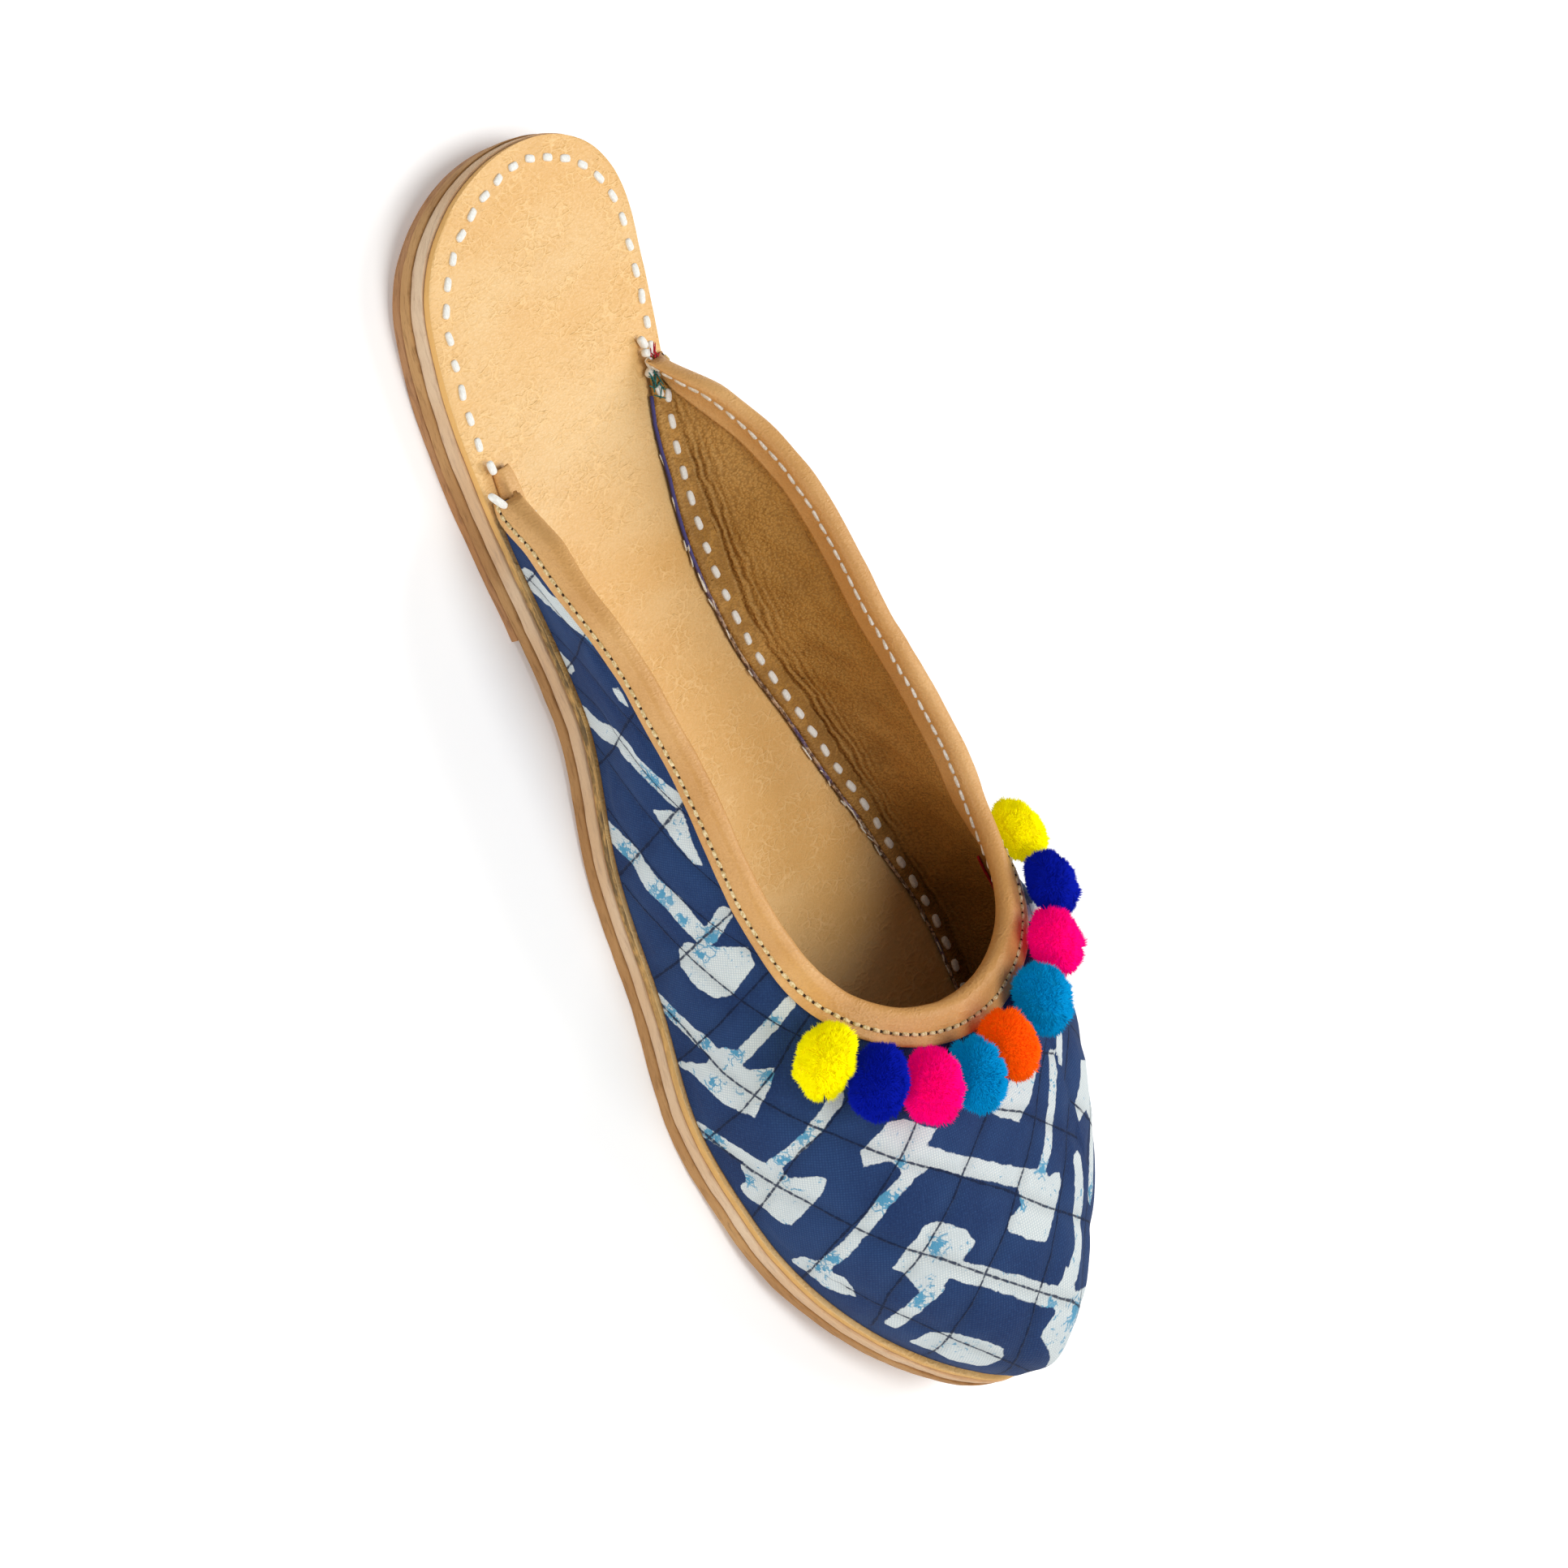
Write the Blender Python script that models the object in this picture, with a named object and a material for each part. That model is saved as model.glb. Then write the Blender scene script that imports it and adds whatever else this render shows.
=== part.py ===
"""Flat slip-on slipper: stacked leather sole, hollow quilted upper, collar binding and nine pompoms.

Metres. X runs from heel to toe, +Y is the wearer's left, +Z is up and the floor is z = 0.
"""
import math

import bmesh
import bpy
import numpy as np

# Driving sizes of the last and the sole
LENGTH = 0.250
BALL_WIDTH = 0.0856
INSTEP_HEIGHT = 0.0450
OUTSOLE = 0.0022
MIDSOLE_HEEL = 0.0026
MIDSOLE_BALL = 0.0020
INSOLE = 0.0012
LIFT_BACK = 0.0020
LIFT_FRONT = 0.0015
LIFT_LENGTH = 0.080
HEEL_RISE = 0.0034
HEEL_RISE_END = 0.044
ARCH_END = 0.140
SPRING_START = 0.168
TOE_SPRING = 0.0115
GAP = 0.0003
EDGE_BEVEL = 0.0003

# Rounded ends of the sole outline
HEEL_CAP = 0.0223
HEEL_POWER = 2.15
TOE_CAP = 0.0540
TOE_POWER = 1.90

# Upper wall, its turned-in edge and the collar
WALL = 0.0022
FEATHER_INSET = 0.0016
FLANGE_WIDTH = 0.0095
FLANGE_THICKNESS = 0.0017
COLLAR_START = 0.0492
THROAT = 0.1700
COLLAR_POWER = 4.31
COLLAR_SKEW = 0.078
FAN_CENTRE = 0.140
FULL_HEIGHT = 0.025

# Collar binding
BINDING = 0.0010
STRIP_WIDTH = 0.0055
FACING_WIDTH = 0.0090
STRIP_SHARE = STRIP_WIDTH / FACING_WIDTH
END_CLEARANCE = 0.0032

# Pompoms
POM_SIZE = 0.0146
POM_LOCK = 0.07
POM_CLEARANCE = 0.0007

# Mesh fineness
SOLE_STATIONS = 44
SIDE_RIBS = 11
FAN_RIBS = 27
FAN_CROWDING = 1.4
LOWER_ROWS = 8
ROLL_STEPS = 6
RIB_STEPS = 81

HALF_BALL = BALL_WIDTH / 2
SIDE_MIDDLE = -0.0004

# along = share of LENGTH, half = share of half the ball width, centre = shift of the centre line to +Y
SOLE_COLUMNS = ("along", "half", "centre")
SOLE_ROWS = (
    (0.00, 0.690, 0.0054),
    (0.12, 0.708, 0.0000),
    (0.25, 0.636, -0.0043),
    (0.38, 0.605, -0.0039),
    (0.50, 0.792, -0.0022),
    (0.60, 0.895, 0.0000),
    (0.70, 1.000, 0.0011),
    (0.80, 0.935, 0.0019),
    (0.90, 0.830, 0.0024),
    (1.00, 0.650, 0.0026),
)

# along = share of the way from the collar's ends to the throat, half = share of half the ball width
COLLAR_WIDTH_COLUMNS = ("along", "half")
COLLAR_WIDTH_ROWS = (
    (0.00, 0.594),
    (0.20, 0.734),
    (0.45, 0.743),
    (0.70, 0.865),
    (1.00, 1.060),
)

# height = share of the instep height, above the floor
COLLAR_HEIGHT_COLUMNS = ("along", "height")
COLLAR_HEIGHT_ROWS = (
    (0.00, 0.310),
    (0.12, 0.495),
    (0.30, 0.680),
    (0.55, 0.752),
    (0.80, 0.795),
    (1.00, 1.000),
)

# turn = share of a quarter turn from the toe line (0) to the side (1), which also serves the sides behind.
# Handles of each rib, from the sole edge (low) and from the collar (high):
# out = share of the rib's reach plus a set bulge, up and drop = shares of its height.
RIB_COLUMNS = ("turn", "low_bulge", "low_up", "high_reach", "high_bulge", "high_drop")
RIB_ROWS = (
    (0.00, 0.0040, 0.66, 0.66, 0.0000, 0.06),
    (0.30, 0.0050, 0.68, 0.68, 0.0006, 0.08),
    (0.60, 0.0054, 0.63, 0.60, 0.0012, 0.14),
    (0.85, 0.0048, 0.50, 0.37, 0.0016, 0.30),
    (1.00, 0.0042, 0.40, 0.15, 0.0018, 0.40),
)

# Yarn colours, linear RGB
YELLOW = (0.92, 0.80, 0.01)
BLUE = (0.005, 0.015, 0.30)
PINK = (0.92, 0.003, 0.22)
TEAL = (0.003, 0.24, 0.45)
ORANGE = (1.00, 0.09, 0.005)

# place = share of the collar's run from its -Y end to its +Y end,
# beside = distance of the pompom's middle from the binding, as a share of its size,
# depth = how far it stands out when pressed to the wall, as a share of its size
POM_COLUMNS = ("place", "beside", "depth", "colour")
POM_ROWS = (
    (0.361, 0.30, 1.00, YELLOW),
    (0.391, 0.38, 0.98, BLUE),
    (0.424, 0.40, 0.92, PINK),
    (0.456, 0.38, 0.84, TEAL),
    (0.486, 0.24, 0.80, ORANGE),
    (0.529, 0.18, 0.68, TEAL),
    (0.569, 0.08, 0.60, PINK),
    (0.611, 0.10, 0.60, BLUE),
    (0.656, 0.26, 0.60, YELLOW),
)

COLLECTION = "pom_pom_slipper"


def column(rows, columns, name):
    """One column of a table as an array."""
    return np.array([row[columns.index(name)] for row in rows], dtype=float)


def smooth(xs, ys, x):
    """Monotone cubic curve through a table's points."""
    step = np.diff(xs)
    rate = np.diff(ys) / step
    slope = np.zeros(len(xs))
    for i in range(1, len(xs) - 1):
        if rate[i - 1] * rate[i] > 0:
            w1 = 2 * step[i] + step[i - 1]
            w2 = step[i] + 2 * step[i - 1]
            slope[i] = (w1 + w2) / (w1 / rate[i - 1] + w2 / rate[i])
    slope[0] = rate[0]
    slope[-1] = rate[-1]
    x = np.clip(np.asarray(x, dtype=float), xs[0], xs[-1])
    k = np.clip(np.searchsorted(xs, x) - 1, 0, len(xs) - 2)
    h = step[k]
    t = (x - xs[k]) / h
    h00 = (1 + 2 * t) * (1 - t) ** 2
    h10 = t * (1 - t) ** 2
    h01 = t * t * (3 - 2 * t)
    h11 = t * t * (t - 1)
    return h00 * ys[k] + h10 * h * slope[k] + h01 * ys[k + 1] + h11 * h * slope[k + 1]


def centre_line(x):
    """Sideways shift of the sole's centre at a distance from the heel end."""
    along = column(SOLE_ROWS, SOLE_COLUMNS, "along") * LENGTH
    return smooth(along, column(SOLE_ROWS, SOLE_COLUMNS, "centre"), x)


def half_width(x):
    """Half width of the sole, closed by a rounded heel and toe."""
    along = column(SOLE_ROWS, SOLE_COLUMNS, "along") * LENGTH
    base = smooth(along, column(SOLE_ROWS, SOLE_COLUMNS, "half") * HALF_BALL, x)
    heel = np.clip(1 - x / HEEL_CAP, 0, 1)
    toe = np.clip(1 - (LENGTH - x) / TOE_CAP, 0, 1)
    heel = np.clip(1 - heel ** HEEL_POWER, 0, 1) ** (1 / HEEL_POWER)
    toe = np.clip(1 - toe ** TOE_POWER, 0, 1) ** (1 / TOE_POWER)
    return base * heel * toe


def underside(x):
    """Height of the outsole's lower face: over the lift, down through the waist, flat, then toe spring."""
    x = np.asarray(x, dtype=float)
    lift = LIFT_BACK + (LIFT_FRONT - LIFT_BACK) * np.clip(x / LIFT_LENGTH, 0, 1)
    fall = np.clip((x - LIFT_LENGTH) / (ARCH_END - LIFT_LENGTH), 0, 1)
    heel = (lift + GAP) * (1 - fall * fall * (3 - 2 * fall))
    toe = np.clip((x - SPRING_START) / (LENGTH - SPRING_START), 0, 1)
    return heel_rise(x) + heel + TOE_SPRING * toe ** 2


def heel_rise(x):
    """Upward curve of the last part of the heel."""
    return HEEL_RISE * np.clip(1 - np.asarray(x, dtype=float) / HEEL_RISE_END, 0, 1) ** 2


def midsole_thickness(x):
    """Midsole, thinner under the ball."""
    t = np.clip((np.asarray(x, dtype=float) - LIFT_LENGTH) / (ARCH_END - LIFT_LENGTH), 0, 1)
    return MIDSOLE_HEEL + (MIDSOLE_BALL - MIDSOLE_HEEL) * t


def outsole_top(x):
    return underside(x) + OUTSOLE


def midsole_top(x):
    return outsole_top(x) + GAP + midsole_thickness(x)


def insole_top(x):
    return midsole_top(x) + GAP + INSOLE


def side_points(x, inset):
    """Both edges of the outline at stations x, moved in by an inset."""
    inner = inset + (LENGTH - 2 * inset) * x / LENGTH
    half = np.maximum(half_width(x) - inset * np.minimum(1, half_width(x) / 0.012), 0)
    centre = centre_line(x)
    return inner, centre - half, centre + half


def place(x, y, z):
    """Point in the part's frame, whose origin is the middle of the whole part on the floor."""
    return (x - LENGTH / 2, y - SIDE_MIDDLE, z)


def new_object(name, bm, colour, roughness):
    """Object of a finished mesh with its own material."""
    bmesh.ops.remove_doubles(bm, verts=bm.verts, dist=0.000001)
    bmesh.ops.recalc_face_normals(bm, faces=bm.faces)
    bmesh.ops.triangulate(bm, faces=bm.faces)
    mesh = bpy.data.meshes.new(name)
    bm.to_mesh(mesh)
    bm.free()
    material = bpy.data.materials.new(name + "_material")
    material.use_nodes = True
    shader = material.node_tree.nodes["Principled BSDF"]
    shader.inputs["Base Color"].default_value = (*colour, 1.0)
    shader.inputs["Roughness"].default_value = roughness
    shader.inputs["Metallic"].default_value = 0.0
    mesh.materials.append(material)
    thing = bpy.data.objects.new(name, mesh)
    bpy.data.collections[COLLECTION].objects.link(thing)
    return thing


def sole_layer(name, inset, bottom, top, colour, end=LENGTH):
    """One leather layer of the sole: the outline between two heights, its edges bevelled."""
    share = (1 - np.cos(np.linspace(0, math.pi, SOLE_STATIONS))) / 2
    stations = LENGTH * share
    if end < LENGTH:
        stations = np.append(stations[stations < end - 0.002], end)
    rings = (
        (inset + EDGE_BEVEL, bottom, 0.0),
        (inset, bottom, EDGE_BEVEL),
        (inset, top, -EDGE_BEVEL),
        (inset + EDGE_BEVEL, top, 0.0),
    )
    bm = bmesh.new()
    loops = []
    for ring_inset, height, shift in rings:
        x, right, left = side_points(stations, ring_inset)
        z = height(x) + shift
        rights = [bm.verts.new(place(*p)) for p in zip(x, right, z)]
        lefts = [bm.verts.new(place(*p)) for p in zip(x, left, z)]
        lefts[0] = join(bm, rights[0], lefts[0])
        if end >= LENGTH:
            lefts[-1] = join(bm, rights[-1], lefts[-1])
        loops.append((rights, lefts))
    for side in (0, 1):
        for (lower, upper) in zip(loops[:-1], loops[1:]):
            for i in range(len(stations) - 1):
                add_face(bm, lower[side][i], lower[side][i + 1], upper[side][i + 1], upper[side][i])
    for rights, lefts in (loops[0], loops[-1]):
        for i in range(len(stations) - 1):
            add_face(bm, rights[i], rights[i + 1], lefts[i + 1], lefts[i])
    if end < LENGTH:
        for (lower, upper) in zip(loops[:-1], loops[1:]):
            add_face(bm, lower[0][-1], lower[1][-1], upper[1][-1], upper[0][-1])
    return new_object(name, bm, colour, 0.6)


def join(bm, kept, spare):
    """Use one vertex for both edges where the outline closes."""
    bm.verts.remove(spare)
    return kept


def add_face(bm, *corners):
    """Face through its corners, once each, if at least three remain."""
    unique = []
    for corner in corners:
        if corner not in unique:
            unique.append(corner)
    if len(unique) > 2:
        bm.faces.new(unique)


def collar_rail(count=160):
    """Collar edge from its -Y end round the throat to its +Y end, as an array of points."""
    share = np.sin(np.linspace(0, math.pi / 2, count))
    width = smooth(
        column(COLLAR_WIDTH_ROWS, COLLAR_WIDTH_COLUMNS, "along"),
        column(COLLAR_WIDTH_ROWS, COLLAR_WIDTH_COLUMNS, "half") * HALF_BALL,
        share,
    )
    width = width * np.sqrt(np.clip(1 - share ** COLLAR_POWER, 0, 1))
    height = smooth(
        column(COLLAR_HEIGHT_ROWS, COLLAR_HEIGHT_COLUMNS, "along"),
        column(COLLAR_HEIGHT_ROWS, COLLAR_HEIGHT_COLUMNS, "height") * INSTEP_HEIGHT,
        share,
    )
    x = COLLAR_START + (THROAT - COLLAR_START) * share
    centre = centre_line(x)
    right = np.column_stack((x + COLLAR_SKEW * width, centre - width, height))
    left = np.column_stack((x - COLLAR_SKEW * width, centre + width, height))
    return np.vstack((right, left[-2::-1]))


def feather_rail(count=400):
    """Line where the upper meets the sole, from the -Y side round the toe to the +Y side."""
    stations = LENGTH * (1 - np.cos(np.linspace(0.6, math.pi, count))) / 2
    x, right, left = side_points(stations, FEATHER_INSET)
    z = insole_top(x) + GAP
    first = np.column_stack((x, right, z))
    second = np.column_stack((x, left, z))
    return np.vstack((first, second[-2::-1]))


def at_angle(rail, angle):
    """Point of a rail seen from the fan's centre at an angle from the toe line."""
    centre = centre_line(FAN_CENTRE)
    front = rail[rail[:, 0] > FAN_CENTRE - 0.02]
    angles = np.arctan2(front[:, 1] - centre, front[:, 0] - FAN_CENTRE)
    return np.array([np.interp(angle, angles, front[:, k]) for k in range(3)])


def at_station(rail, x, side):
    """Point of a rail at a distance from the heel end, on the -Y (0) or +Y (1) side."""
    middle = int(np.argmax(rail[:, 0]))
    half = rail[:middle + 1] if side == 0 else rail[middle:][::-1]
    return np.array([np.interp(x, half[:, 0], half[:, k]) for k in range(3)])


def ribs():
    """Feet, heads, outward directions and turns of the upper's ribs, from the -Y end to the +Y end."""
    feather = feather_rail()
    collar = collar_rail()
    result = []
    for side in (0, 1):
        row = []
        sign = -1.0 if side == 0 else 1.0
        start = COLLAR_START - sign * COLLAR_SKEW * np.abs(collar[0, 1] - centre_line(COLLAR_START))
        for x in np.linspace(start, FAN_CENTRE, SIDE_RIBS):
            foot = at_station(feather, x, side)
            head = at_station(collar, x, side)
            row.append((foot, head, np.array([0.0, sign, 0.0]), 1.0))
        result.append(row)
    fan = []
    spread = np.linspace(-1, 1, FAN_RIBS + 2)[1:-1]
    for angle in np.sign(spread) * np.abs(spread) ** FAN_CROWDING * math.pi / 2:
        out = np.array([math.cos(angle), math.sin(angle), 0.0])
        turn = abs(angle) / (math.pi / 2)
        fan.append((at_angle(feather, angle), at_angle(collar, angle), out, turn))
    return result[0] + fan + result[1][::-1]


def rib_curve(rib, v):
    """Points of one rib at shares v of its length from the sole edge to the collar."""
    foot, head, out, turn = rib
    turns = column(RIB_ROWS, RIB_COLUMNS, "turn")
    value = {name: float(smooth(turns, column(RIB_ROWS, RIB_COLUMNS, name), turn)) for name in RIB_COLUMNS[1:]}
    reach = max(float(np.dot(foot - head, out)), 0.0)
    rise = np.array([0.0, 0.0, head[2] - foot[2]])
    fullness = min(1.0, rise[2] / FULL_HEIGHT)
    low = foot + out * value["low_bulge"] * fullness + rise * value["low_up"]
    high_out = value["high_reach"] * reach + value["high_bulge"] * fullness
    high = head + out * high_out - rise * value["high_drop"]
    t = np.linspace(0, 1, RIB_STEPS)[:, None]
    run = (1 - t) ** 3 * foot + 3 * t * (1 - t) ** 2 * low + 3 * t * t * (1 - t) * high + t ** 3 * head
    gone = np.concatenate(([0.0], np.cumsum(np.linalg.norm(np.diff(run, axis=0), axis=1))))
    return np.column_stack([np.interp(np.asarray(v) * gone[-1], gone, run[:, k]) for k in range(3)])


def surface(v_rows):
    """Outer face of the upper, rib by rib: points, normals in each rib's own plane, and upward tangents."""
    small = 0.004
    points = []
    normals = []
    tangents = []
    for rib, rows in zip(ribs(), v_rows):
        rows = np.asarray(rows, dtype=float)
        out = rib[2]
        up = rib_curve(rib, np.minimum(rows + small, 1.0)) - rib_curve(rib, np.maximum(rows - small, 0.0))
        up /= np.linalg.norm(up, axis=1, keepdims=True)
        points.append(rib_curve(rib, rows))
        tangents.append(up)
        normals.append(np.outer(up[:, 2], out) - np.outer(up @ out, (0.0, 0.0, 1.0)))
        normals[-1] /= np.linalg.norm(normals[-1], axis=1, keepdims=True)
    return np.array(points), np.array(normals), np.array(tangents)


def rib_lengths():
    """Run of each rib from the sole edge to the collar."""
    steps = np.linspace(0, 1, 40)
    return np.array([np.linalg.norm(np.diff(rib_curve(rib, steps), axis=0), axis=1).sum() for rib in ribs()])


def grid_solid(bm, rows_of_points, closed):
    """Skin between neighbouring rows of points, with both ends capped; closed rows wrap round."""
    rows = [[bm.verts.new(place(*p)) for p in row] for row in rows_of_points]
    count = len(rows[0])
    last = count if closed else count - 1
    for a, b in zip(rows[:-1], rows[1:]):
        for j in range(last):
            add_face(bm, a[j], b[j], b[(j + 1) % count], a[(j + 1) % count])
    return rows


def facing_shares(lengths):
    """Inner facing's depth on each rib, as a share of its length, kept clear of the turned-in edge."""
    return np.clip(lengths - FLANGE_THICKNESS - END_CLEARANCE, 0.0006, FACING_WIDTH) / lengths


def build_upper():
    """Hollow wall from the sole edge to the collar, its lower edge turned in over the insole."""
    frame = ribs()
    lengths = rib_lengths()
    start = (FLANGE_THICKNESS + 0.0006) / lengths
    v_rows = []
    for low, facing in zip(start, facing_shares(lengths)):
        collar = 1 - facing * np.array((STRIP_SHARE, STRIP_SHARE / 2, 0.0))
        v_rows.append(np.concatenate((np.linspace(low, 1 - facing, LOWER_ROWS), collar)))
    points, normals, _ = surface(v_rows)
    inner = points - normals * WALL
    profiles = []
    for i, (foot, head, out, turn) in enumerate(frame):
        up = np.array([0.0, 0.0, FLANGE_THICKNESS])
        tip = foot - out * FLANGE_WIDTH
        tip[2] = insole_top(tip[0]) + GAP
        half = foot - out * FLANGE_WIDTH * 0.5
        half[2] = insole_top(half[0]) + GAP
        corner = foot - out * WALL
        corner[2] = insole_top(corner[0]) + GAP
        outside = [tip, half, foot] + list(points[i])
        inside = [tip + up, half + up, corner + up] + list(inner[i])
        profiles.append(outside + inside[::-1])
    bm = bmesh.new()
    rows = grid_solid(bm, profiles, True)
    for row in (rows[0], rows[-1]):
        cap_band(bm, row)
    return new_object("upper", bm, (0.022, 0.055, 0.16), 0.85)


def cap_band(bm, row):
    """Close the end of a band whose profile runs out along one face and back along the other."""
    n = len(row) // 2
    for j in range(n - 1):
        add_face(bm, row[j], row[j + 1], row[-j - 2], row[-j - 1])


def build_binding():
    """Folded strip over the collar edge: outer strip, roll and inner facing, clear of the wall."""
    lengths = rib_lengths()
    frame = ribs()
    shares = facing_shares(lengths)
    strip_rows = [1 - share * STRIP_SHARE * np.array((1.0, 0.5, 0.0)) for share in shares]
    facing_rows = [1 - share * np.array((1.0, STRIP_SHARE, STRIP_SHARE / 2, 0.0)) for share in shares]
    outer, outer_normal, outer_up = surface(strip_rows)
    inner, inner_normal, _ = surface(facing_rows)
    profiles = []
    for i in range(len(frame)):
        normal = outer_normal[i][-1]
        up = outer_up[i][-1]
        up = up - normal * np.dot(up, normal)
        up = up / np.linalg.norm(up)
        middle = outer[i][-1] - normal * WALL / 2
        far = roll_arc(middle, normal, up, WALL / 2 + GAP + BINDING)
        near = roll_arc(middle, normal, up, WALL / 2 + GAP)
        outside = list(outer[i] + outer_normal[i] * (GAP + BINDING))[:-1] + far
        outside += list(inner[i] - inner_normal[i] * (WALL + GAP + BINDING))[:-1][::-1]
        inside = list(outer[i] + outer_normal[i] * GAP)[:-1] + near
        inside += list(inner[i] - inner_normal[i] * (WALL + GAP))[:-1][::-1]
        profiles.append(outside + inside[::-1])
    bm = bmesh.new()
    rows = grid_solid(bm, profiles, True)
    for row in (rows[0], rows[-1]):
        cap_band(bm, row)
    return new_object("collar_binding", bm, (0.50, 0.27, 0.10), 0.45)


def roll_arc(middle, normal, up, radius):
    """Half circle over the wall's top edge, from its outer to its inner side."""
    angles = np.linspace(0, math.pi, ROLL_STEPS)
    return [middle + (normal * math.cos(a) + up * math.sin(a)) * radius for a in angles]


def pom_lift(beside, depth):
    """Clearance of a pompom from the wall, larger where it lies over the binding's outer strip."""
    half = POM_SIZE / 2
    over = min(POM_SIZE * beside / half, 1.0)
    room = half * depth * (1 - math.sqrt(1 - over * over))
    return max(POM_CLEARANCE, BINDING + 2 * GAP - room)


def pom_line(beside, depth):
    """Line of pompom middles at a distance from the binding, with the upper's normals and its run."""
    share = np.maximum(1 - (STRIP_WIDTH + POM_SIZE * beside) / rib_lengths(), 0.1)
    points, _, tangents = surface([np.array([s]) for s in share])
    normals = np.cross(np.gradient(points[:, 0], axis=0), tangents[:, 0])
    normals /= np.linalg.norm(normals, axis=1, keepdims=True)
    line = points[:, 0] + normals * (POM_SIZE / 2 * depth + pom_lift(beside, depth))
    run = np.concatenate(([0.0], np.cumsum(np.linalg.norm(np.diff(line, axis=0), axis=1))))
    return run / run[-1], line, normals


def pom_places():
    """Centre, chain direction and outward normal of each pompom, beside the binding's outer strip."""
    result = []
    for where, beside, depth, _ in POM_ROWS:
        run, line, normals = pom_line(beside, depth)
        centre = np.array([np.interp(where, run, line[:, k]) for k in range(3)])
        normal = np.array([np.interp(where, run, normals[:, k]) for k in range(3)])
        normal /= np.linalg.norm(normal)
        step = np.array([np.interp(where + 0.01, run, line[:, k]) for k in range(3)]) - centre
        chain = step - normal * np.dot(step, normal)
        result.append((centre, chain / np.linalg.norm(chain), normal))
    return result


def build_pompoms():
    """Balls of yarn, squeezed along the row, with locks pulled out of each."""
    places = pom_places()
    centres = np.array([p[0] for p in places])
    pitch = np.linalg.norm(np.diff(centres, axis=0), axis=1)
    for number, (centre, chain, normal) in enumerate(places):
        row = dict(zip(POM_COLUMNS, POM_ROWS[number]))
        near = min(pitch[max(number - 1, 0)], pitch[min(number, len(pitch) - 1)])
        axes = np.array((
            chain * min(POM_SIZE / 2, near / 2 - GAP / 2),
            np.cross(normal, chain) * POM_SIZE / 2,
            normal * POM_SIZE / 2 * row["depth"],
        ))
        bm = bmesh.new()
        bmesh.ops.create_icosphere(bm, subdivisions=1, radius=1.0)
        locks = {tuple(np.round(v.co, 4)) for v in bm.verts}
        bm.free()
        bm = bmesh.new()
        bmesh.ops.create_icosphere(bm, subdivisions=3, radius=1.0)
        for vert in bm.verts:
            size = 1.0 if tuple(np.round(vert.co, 4)) in locks else 1.0 - POM_LOCK
            vert.co = place(*(centre + np.array(vert.co) @ axes * size))
        new_object("pompom_%d" % (number + 1), bm, row["colour"], 0.95)


def main():
    for thing in list(bpy.data.objects):
        bpy.data.objects.remove(thing, do_unlink=True)
    group = bpy.data.collections.new(COLLECTION)
    bpy.context.scene.collection.children.link(group)
    sole_layer("heel_lift", 0.0002, heel_rise, lambda x: underside(x) - GAP, (0.30, 0.14, 0.085), LIFT_LENGTH)
    sole_layer("outsole", 0.0, underside, outsole_top, (0.40, 0.20, 0.070))
    sole_layer("midsole", 0.0003, lambda x: outsole_top(x) + GAP, midsole_top, (0.61, 0.43, 0.32))
    sole_layer("insole", 0.0007, lambda x: midsole_top(x) + GAP, insole_top, (0.81, 0.50, 0.19))
    build_upper()
    build_binding()
    build_pompoms()


main()
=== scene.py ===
"""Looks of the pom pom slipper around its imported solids: cloth, leather, stitches, yarn, light and camera."""

import math

import bpy
import numpy as np
from mathutils import Matrix, Vector


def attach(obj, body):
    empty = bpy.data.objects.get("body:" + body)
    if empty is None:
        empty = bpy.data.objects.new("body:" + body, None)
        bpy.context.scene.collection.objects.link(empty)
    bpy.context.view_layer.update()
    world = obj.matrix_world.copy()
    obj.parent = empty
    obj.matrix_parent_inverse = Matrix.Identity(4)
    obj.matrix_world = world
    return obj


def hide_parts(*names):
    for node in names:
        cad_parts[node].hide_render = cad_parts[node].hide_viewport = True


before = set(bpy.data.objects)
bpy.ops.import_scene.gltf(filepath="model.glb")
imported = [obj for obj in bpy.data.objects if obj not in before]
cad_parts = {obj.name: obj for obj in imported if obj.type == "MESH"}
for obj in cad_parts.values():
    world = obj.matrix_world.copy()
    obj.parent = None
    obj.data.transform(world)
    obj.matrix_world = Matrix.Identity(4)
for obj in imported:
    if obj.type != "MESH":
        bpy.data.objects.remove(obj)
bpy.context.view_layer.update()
bpy.ops.object.select_all(action="DESELECT")
RNG = np.random.default_rng(7)
MM = 0.001
# Usual distance between quilting lines, and a distance beyond any seam's pucker, in millimetres
SEAM_PITCH = 12.5
FAR_FROM_SEAM = 6.0

# Sizes of the last and the sole, metres
LENGTH = 0.250
HALF_BALL = 0.0856 / 2
INSTEP_HEIGHT = 0.0450
OUTSOLE = 0.0022
MIDSOLE_HEEL = 0.0026
MIDSOLE_BALL = 0.0020
INSOLE = 0.0012
LIFT_BACK = 0.0020
LIFT_FRONT = 0.0015
LIFT_LENGTH = 0.080
HEEL_RISE = 0.0034
HEEL_RISE_END = 0.044
ARCH_END = 0.140
SPRING_START = 0.168
TOE_SPRING = 0.0115
GAP = 0.0003
HEEL_CAP = 0.0223
HEEL_POWER = 2.15
TOE_CAP = 0.0540
TOE_POWER = 1.90
WALL = 0.0022
FEATHER_INSET = 0.0016
FLANGE_THICKNESS = 0.0017
COLLAR_START = 0.0492
THROAT = 0.1700
COLLAR_POWER = 4.31
COLLAR_SKEW = 0.078
FAN_CENTRE = 0.140
FAN_MARGIN = 0.02
FEATHER_START = 0.6
NARROW_SOLE = 0.012
FULL_HEIGHT = 0.025
STRIP_WIDTH = 0.0055
SIDE_MIDDLE = -0.0004
FAN_CROWDING = 1.2
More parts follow.
